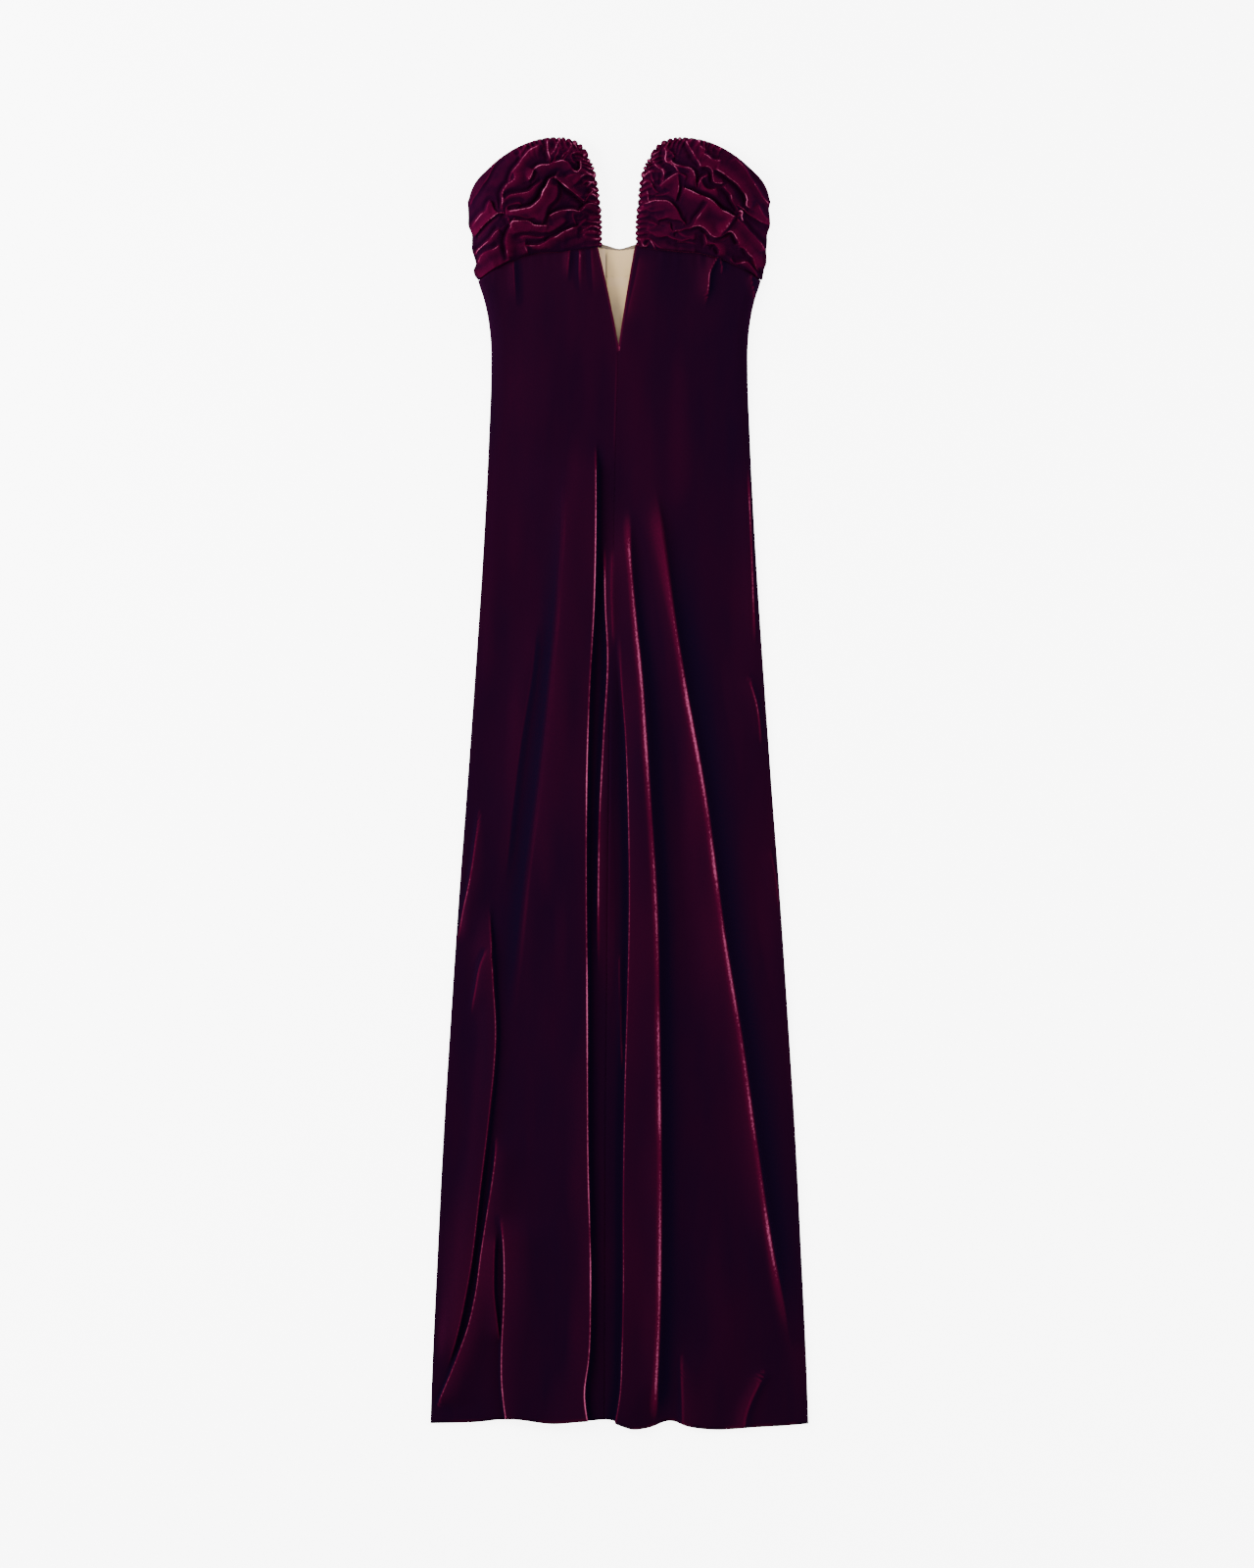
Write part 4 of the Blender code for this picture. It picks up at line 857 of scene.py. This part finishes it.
def nearestOn(path, spots):
    step = np.diff(path, axis=0)
    off = spots[:, None] - path[None, :-1]
    share = np.clip((off * step).sum(-1) / (step**2).sum(-1), 0.0, 1.0)
    off = off - share[..., None] * step
    distance = np.linalg.norm(off, axis=-1)
    best = distance.argmin(axis=1)
    pick = np.arange(len(spots))
    step, off, distance = step[best], off[pick, best], distance[pick, best]
    across = np.stack([-step[:, 1], step[:, 0]], axis=-1) / np.linalg.norm(step, axis=1)[:, None]
    signed = np.where((off * across).sum(-1) > 0, distance, -distance)
    return signed, best + share[pick, best], across


def rucheShape(plan, folds):
    look = cupLook
    place = plan - np.array([0.0, gown["underbustY"]])
    out, up = place[..., 0], place[..., 1]
    wander = np.stack([softNoise(up / 9, out / 11, 2.0), softNoise(out / 9, up / 10, 5.0)], axis=-1)
    place = (place + look["wander"] * wander).reshape(-1, 2)
    height, carve, lines, glows, darks = np.zeros((5, len(place)))
    push = np.zeros_like(place)
    for count, (rise, steep, line, glow, dark, points) in enumerate(folds):
        length = lengthOf(points)
        pieces = max(4, round(length / 2.5))
        path = along(points, np.linspace(0.0, 1.0, pieces + 1))
        near = np.all((place > path.min(axis=0) - 20.0) & (place < path.max(axis=0) + 20.0), axis=1)
        signed, run, across = nearestOn(path, place[near])
        across, run = across * steep, run * length / pieces
        fade = ease(-1.0, look["fade"], run) * ease(-1.0, look["fade"], length - run)
        strength = rise / 4.5
        signed = signed * steep + look["lap"] * strength * fade
        ridge = bell(signed, np.where(signed > 0, look["sharp"], look["wide"])) * fade
        trough = bell(signed - 4.8, 2.6) * fade
        height[near] = (height[near] ** 3 + (look["lift"] * rise * ridge) ** 3) ** (1 / 3)
        carve[near] = np.maximum(carve[near], look["carve"] * strength * trough)
        push[near] += (ridge * look["lap"] * strength)[:, None] * across
        uneven = 0.85 + 0.35 * softNoise(run / 8.0, count, 7.0)
        # Painted highlight on the crest, painted light on the gentle side and painted shade in the hollow.
        bright = look["lineGain"] * line * uneven * bell(signed - 0.2, look["lineWidth"])
        lines[near] = np.maximum(lines[near], bright * fade)
        flat = 0.6 * np.exp(-np.abs(signed) / 3.5) + 0.4 * ease(look["flank"], 2.0, -signed)
        glows[near] = np.maximum(glows[near], glow * flat * fade * ease(1.2, -0.6, signed))
        hollow = ease(0.5, 2.2, signed) * bell(np.maximum(signed - 2.2, 0.0), look["hollow"])
        darks[near] = np.maximum(darks[near], dark * fade * hollow)
    push *= np.minimum(1.0, 3.0 / (np.linalg.norm(push, axis=1) + 0.01))[:, None]
    form = plan.shape[:-1]
    shade = [k.reshape(form) for k in (lines, glows, darks)]
    return (height - carve).reshape(form), push.reshape(plan.shape), shade


# How many gathers lie along the free edge up to this share of it.
def gatherTurn(share):
    length = innerLength + casingLook["onTop"] * topLength
    way = (share - gatherStart) / (casingShare - gatherStart)
    uneven = casingLook["uneven"] * softNoise(way * 11, 0.0, 6.0)
    return way * round(length / casingLook["pitch"]) + uneven


def cupPlace(side, folds):
    def place(u, v):
        look = cupLook
        tuck = np.clip(1 - v / look["tuckShare"], 0, 1)  # the seam allowance, turned in under the cup
        v = np.clip((v - look["tuckShare"]) / (1 - look["tuckShare"]), 0, 1)
        plan = cupPlan(u, v)
        plan[..., 0] -= innerShift(plan[..., 0], plan[..., 1], side)
        height, push, (lines, glows, darks) = rucheShape(plan, folds)
        calm = ease(0.0, 0.05, u) * ease(0.0, 0.03, v) * ease(0.0, 0.02, 1 - u) * ease(0.0, 0.03, 1 - v)
        x, y = plan[..., 0], plan[..., 1]
        crease = softNoise(x / 12.0, y / 8.0, 11.0 + side) + 0.4 * softNoise(x / 5.0, y / 4.0, 21.0 + side)
        fromInner = (1 - u) * look["width"]
        fromTop = (1 - v) * look["height"] + 60 * ease(0.55, 0.15, u)
        fromSeam = v * look["height"]
        bent = 0.22 * softNoise(x / 9, y / 9, 31.0) * np.minimum(fromInner, fromTop) / 8.0
        peakInner = 0.5 - 0.5 * np.cos(2 * math.pi * (gatherTurn(cornerShare * v) + bent))
        peakTop = 0.5 - 0.5 * np.cos(2 * math.pi * (gatherTurn(1 - (1 - cornerShare) * u) + bent))
        nearInner = np.exp(-fromInner / look["gatherReach"])
        nearTop = np.exp(-fromTop / (0.7 * look["gatherReach"]))
        pleat = nearInner * (2 * peakInner - 1) + nearTop * (2 * peakTop - 1)
        shirr = np.exp(-fromSeam / 9.0) * softNoise(x / 4.5, y / 30.0, 41.0)
        relief = height + look["crumple"] * crease + look["gather"] * (pleat + look["shirr"] * shirr)
        roll = np.sin(math.pi * np.clip(0.2 + 0.8 * v / 0.07, 0, 1)) * look["overhang"] * ease(0.0, 0.02, u)
        roll = roll * (0.62 + 0.5 * softNoise(x / 11.0, 0.0, 71.0 + side))
        z = cupBase(u, v, plan) + calm * relief + 0.75 * roll
        sideWave = np.exp(-u / look["sideFade"]) * smooth(y, *zip(*sideWaves[int(side > 0)]))
        x = x + calm * push[..., 0] + sideWave
        y = y + calm * push[..., 1] - roll + (roll + 0.6) * ease(0.0, 0.35, tuck) + 0.5 * tuck
        z = z - tuck * np.clip(z - gown["backZ"] - 0.8, 0.3, look["tuckDepth"])
        points = np.stack([side * x, y, z], axis=-1)
        # Painted light and shade: highlights on the ruches' crests and the gathers' peaks, lit flanks, shaded
        # hollows and gather dips, lighter and darker with the creases, and painted shade along the seam and
        # on the turned-in allowance.
        near = np.clip(nearInner + nearTop, 0, 1)
        patchy = 0.55 + 0.55 * softNoise(x / 7.0, y / 6.0, 81.0 + side)
        peaks = nearInner * peakInner**5 + nearTop * peakTop**5
        dips = nearInner * (1 - peakInner) ** 3 + nearTop * (1 - peakTop) ** 3
        gatherHighlight = near * (patchy * peaks / (near + 0.01) + 0.12)
        gatherDark = near * dips / (near + 0.01)
        pileAndPaintedLight = np.maximum(look["glowGain"] * glows, look["gatherGlow"] * near) * (1 - np.minimum(darks, 1))
        pileAndPaintedLight = pileAndPaintedLight - darks * (1 - np.minimum(lines, 1))
        pileAndPaintedLight = pileAndPaintedLight - look["gatherDark"] * gatherDark * (1 - lines) + 0.05 * crease + 0.06
        pileAndPaintedLight = np.maximum(pileAndPaintedLight, np.maximum(lines, gatherHighlight))
        seamShade = bell(fromSeam, look["seamShade"]) * (1 - 0.7 * np.clip(lines, 0, 1))
        pileAndPaintedLight = pileAndPaintedLight * (1 - 0.8 * seamShade) - 0.35 * seamShade - 0.5 * ease(0.0, 0.3, tuck)
        if side > 0:
            points, pileAndPaintedLight, relief = points[:, ::-1], pileAndPaintedLight[:, ::-1], relief[:, ::-1]
        return points, pileAndPaintedLight + paintedSlopeLight(points, relief, look["light"], look["lightShare"])
    return place


def casingPlace(side):
    def place(u, v):
        look = casingLook
        share = (casingShare - casingStart) * v + casingStart
        below = np.minimum(share, 0.0) * (innerLength + topLength)
        angle = 2 * math.pi * u
        turn = gatherTurn(share) + 0.10 * np.sin(angle + 2.0) + 0.16 * softNoise(v * 90, u * 3, 9.0)
        swell = np.abs(np.sin(math.pi * turn)) ** 0.6
        bulge = 1.0 + look["bulge"] * softNoise(gatherTurn(share) * 0.9, side, 19.0)
        fine = softNoise(turn * 3.1, np.cos(angle) * 1.7 + 5, 23.0)
        radius = casingRadius(share) * (look["least"] + look["swell"] * bulge * swell + look["fine"] * fine)
        spine, way = freeEdge(share, casingRadius(share) * (1.0 + 0.5 * (1 - swell)))
        x, y = spine[..., 0], spine[..., 1]
        x = x - innerShift(x, y, side) + way[..., 1] * radius * np.cos(angle)
        y = y - way[..., 0] * radius * np.cos(angle) + below
        sink = look["sink"] * ease(0.006, casingStart, share)
        z = cupLook["edgeZ"] - cupLook["wall"] / 2 - sink + radius * np.sin(angle)
        points = np.stack([side * x, y, z], axis=-1)
        # Painted light: the casing's top lit and its underside in painted shade, highlights on the gathers'
        # swells, painted shade in the pits between them, and the left casing a little lighter.
        top = ease(-0.2, 0.9, np.sin(angle))
        crest = ease(0.80, 1.0, swell) * (0.5 + 0.5 * softNoise(v * 57, u * 4, 29.0))
        pit = ease(0.55, 0.1, swell)
        lit = look["glow"] + look["crest"] * crest + 0.12 * fine + 0.08 * (side < 0)
        return points, top * lit - look["pit"] * pit - look["under"] * (1 - top)
    return place


cupPieces = {}
for word, side, ruches in (("left", -1, leftRuches), ("right", 1, rightRuches)):
    cup = gridObject(f"ruchedCup_{word}", cupLook, cupPlace(side, ruches), cupVelvet)
    casing = gridObject(f"gatheredCasing_{word}", casingLook, casingPlace(side), cupVelvet)
    for piece, node in ((cup, f"cup_{word}"), (casing, f"cup_casing_{word}")):
        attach(piece, "root")
        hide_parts(node)
    cupPieces[word] = (cup, casing)

print("back and lining")
backLook = dict(
    columns=40,
    rows=150,
    thickness=gown["backZ"],
    hemRise=3.0,
    inset=0.5,
    neckWide=171.0,
    centreX=-0.3,
    neckDip=1.3,
    edgeGlow=0.45,
)
liningLook = dict(
    columns=180,
    rows=90,
    thickness=0.5,
    lieZ=2.75,
    low=400.0,
    high=624.0,
    side=126.0,
    spread=0.25,
    wrinkle=0.22,
    seamX=-15.3,
    pinkX=13.5,
    bandLow=571.0,
    bandHigh=582.0,
    facingY=612.0,
    facingSlope=0.12,
)


def backNeckY(reach):
    dip = backLook["neckDip"] * bell(reach, 9.0)
    return gown["neckBackY"] + gown["neckBackSlope"] * (np.hypot(reach, 8.0) - 8.0) - dip


def backEdgeX(y):
    out, up = zip(*cupSide)
    high = smooth(y, up, out) + gown["pile"] * ease(590.0, 570.0, y)
    return np.where(y < up[0], halfWidth(y), high) - backLook["inset"]


def backPlace(side):
    def place(u, v):
        hem = gown["hemY"] + backLook["hemRise"]
        y = hem + (backNeckY(backLook["neckWide"] * u) - hem) * v
        x = backLook["centreX"] + (backEdgeX(y) - backLook["centreX"]) * u
        z = np.full_like(x, gown["backZ"] - 0.02 * (side > 0))
        points = np.stack([side * x, y, z], axis=-1)
        # Painted light along the neck edge; elsewhere the back is a little darker.
        pileAndPaintedLight = ease(4.0, 0.0, backNeckY(x) - y) * backLook["edgeGlow"] - 0.1
        if side < 0:
            points, pileAndPaintedLight = points[:, ::-1], pileAndPaintedLight[:, ::-1]
        return points, pileAndPaintedLight
    return place


def liningPlace(u, v):
    look = liningLook
    out = 2 * u - 1
    x = look["side"] * (look["spread"] * out + (1 - look["spread"]) * out**3)  # closer columns at the seam
    top = look["facingY"] + look["facingSlope"] * np.abs(x)
    y = look["low"] + (np.minimum(backNeckY(x), look["high"]) - 0.2 - look["low"]) * (1 - (1 - v) ** 1.5)
    ripple = softNoise(x / 16, y / 34, 51.0) + 0.6 * softNoise(x / 7 + y / 40, y / 21, 52.0)
    seam = bell(x - look["seamX"], 0.9) * ease(611.0, 605.0, y)
    pink = ease(look["seamX"] - 0.6, look["seamX"] - 1.6, x)
    pink = pink + ease(look["pinkX"] - 0.6, look["pinkX"] + 0.6, x)
    band = ease(look["bandLow"] - 1.5, look["bandLow"] + 1.5, y)
    band = band * ease(look["bandHigh"] + 1.5, look["bandHigh"] - 1.5, y)
    edge = bell(y - look["bandHigh"], 0.8)
    inside = ease(0, 0.04, u) * ease(1, 0.96, u) * ease(0, 0.04, v) * ease(1, 0.97, v)
    z = look["lieZ"] + inside * (look["wrinkle"] * ripple - 0.35 * seam + 0.18 * band)
    facing = ease(top - 0.3, top + 0.3, y)
    shadow = 0.3 * bell(x - frontEdgeX(y, -1), 7.0) * ease(590.0, 540.0, y)
    # The lining's colour: a dark seam line, pink sides and the facing, a lighter band with a darker line
    # along its top, painted light on the wrinkles' rises and a painted shadow by the left front edge.
    pileAndPaintedLight = (-0.9 * seam + 0.2 * band - 0.3 * edge + 0.15 * ripple - shadow + 0.7 * pink) * (1 - facing)
    return np.stack([x, y, z], axis=-1), pileAndPaintedLight - facing * (0.8 + 0.2 * bell(y - top, 0.9))


for word, side in (("left", -1), ("right", 1)):
    piece = gridObject(f"backPanel_{word}", backLook, backPlace(side), velvet)
    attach(piece, "root")
    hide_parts(f"back_{word}")
lining = gridObject("bodiceLining", liningLook, liningPlace, satin)
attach(lining, "root")
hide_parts("back_lining")

for word in ("left", "right"):
    cup, casing = cupPieces[word]

print("stage")
stageLook = dict(
    floorSize=14.0,
    floorZ=-0.0005,
    paper={
        "Base Color": (0.95, 0.95, 0.95),
        "Roughness": 0.95,
        "Emission Color": (1.0, 1.0, 1.0),
        "Emission Strength": 6.0,
    },
    world=1.0,
    lights=[  # name, place, target, size, power
        ("keyLight", (-2.2, 0.7, 1.5), (0, 0.1, 0), (1.0, 2.2), 190.0),
        ("fillLight", (2.3, 0.2, 1.2), (0, 0, 0), (0.8, 2.2), 60.0),
        ("topLight", (0.2, 0.8, 3.6), (0, 0, 0), (2.4, 2.4), 40.0),
    ],
)
bm = bmesh.new()
bmesh.ops.create_grid(bm, x_segments=1, y_segments=1, size=stageLook["floorSize"])
floorMesh = meshOf(bm, "floor")
floor = newObject("floor", floorMesh)
floor.location.z = stageLook["floorZ"]
floorMesh.materials.append(newMaterial("paper", stageLook["paper"]))

for name, place, target, size, power in stageLook["lights"]:
    data = bpy.data.lights.new(name, "AREA")
    data.shape = "RECTANGLE"
    data.size, data.size_y = size
    data.energy = power
    lamp = newObject(name, data)
    lamp.location = place
    lamp.rotation_euler = (Vector(place) - Vector(target)).to_track_quat("Z", "Y").to_euler()

world = bpy.data.worlds.new("studio")
bpy.context.scene.world = world
world.use_nodes = True
sky = world.node_tree.nodes["Background"]
sky.inputs[0].default_value = (1, 1, 1, 1)
sky.inputs[1].default_value = stageLook["world"]

cameraLook = dict(centreX=0.0087, height=9.0, frameHeight=1.8, sensor=36.0)  # straight above, in metres
cameraData = bpy.data.cameras.new("camera")
cameraData.lens = cameraLook["sensor"] * cameraLook["height"] / cameraLook["frameHeight"]
cameraData.sensor_width = cameraLook["sensor"]
camera = newObject("camera", cameraData)
camera.location = (cameraLook["centreX"], 0.0, cameraLook["height"])
bpy.context.scene.camera = camera
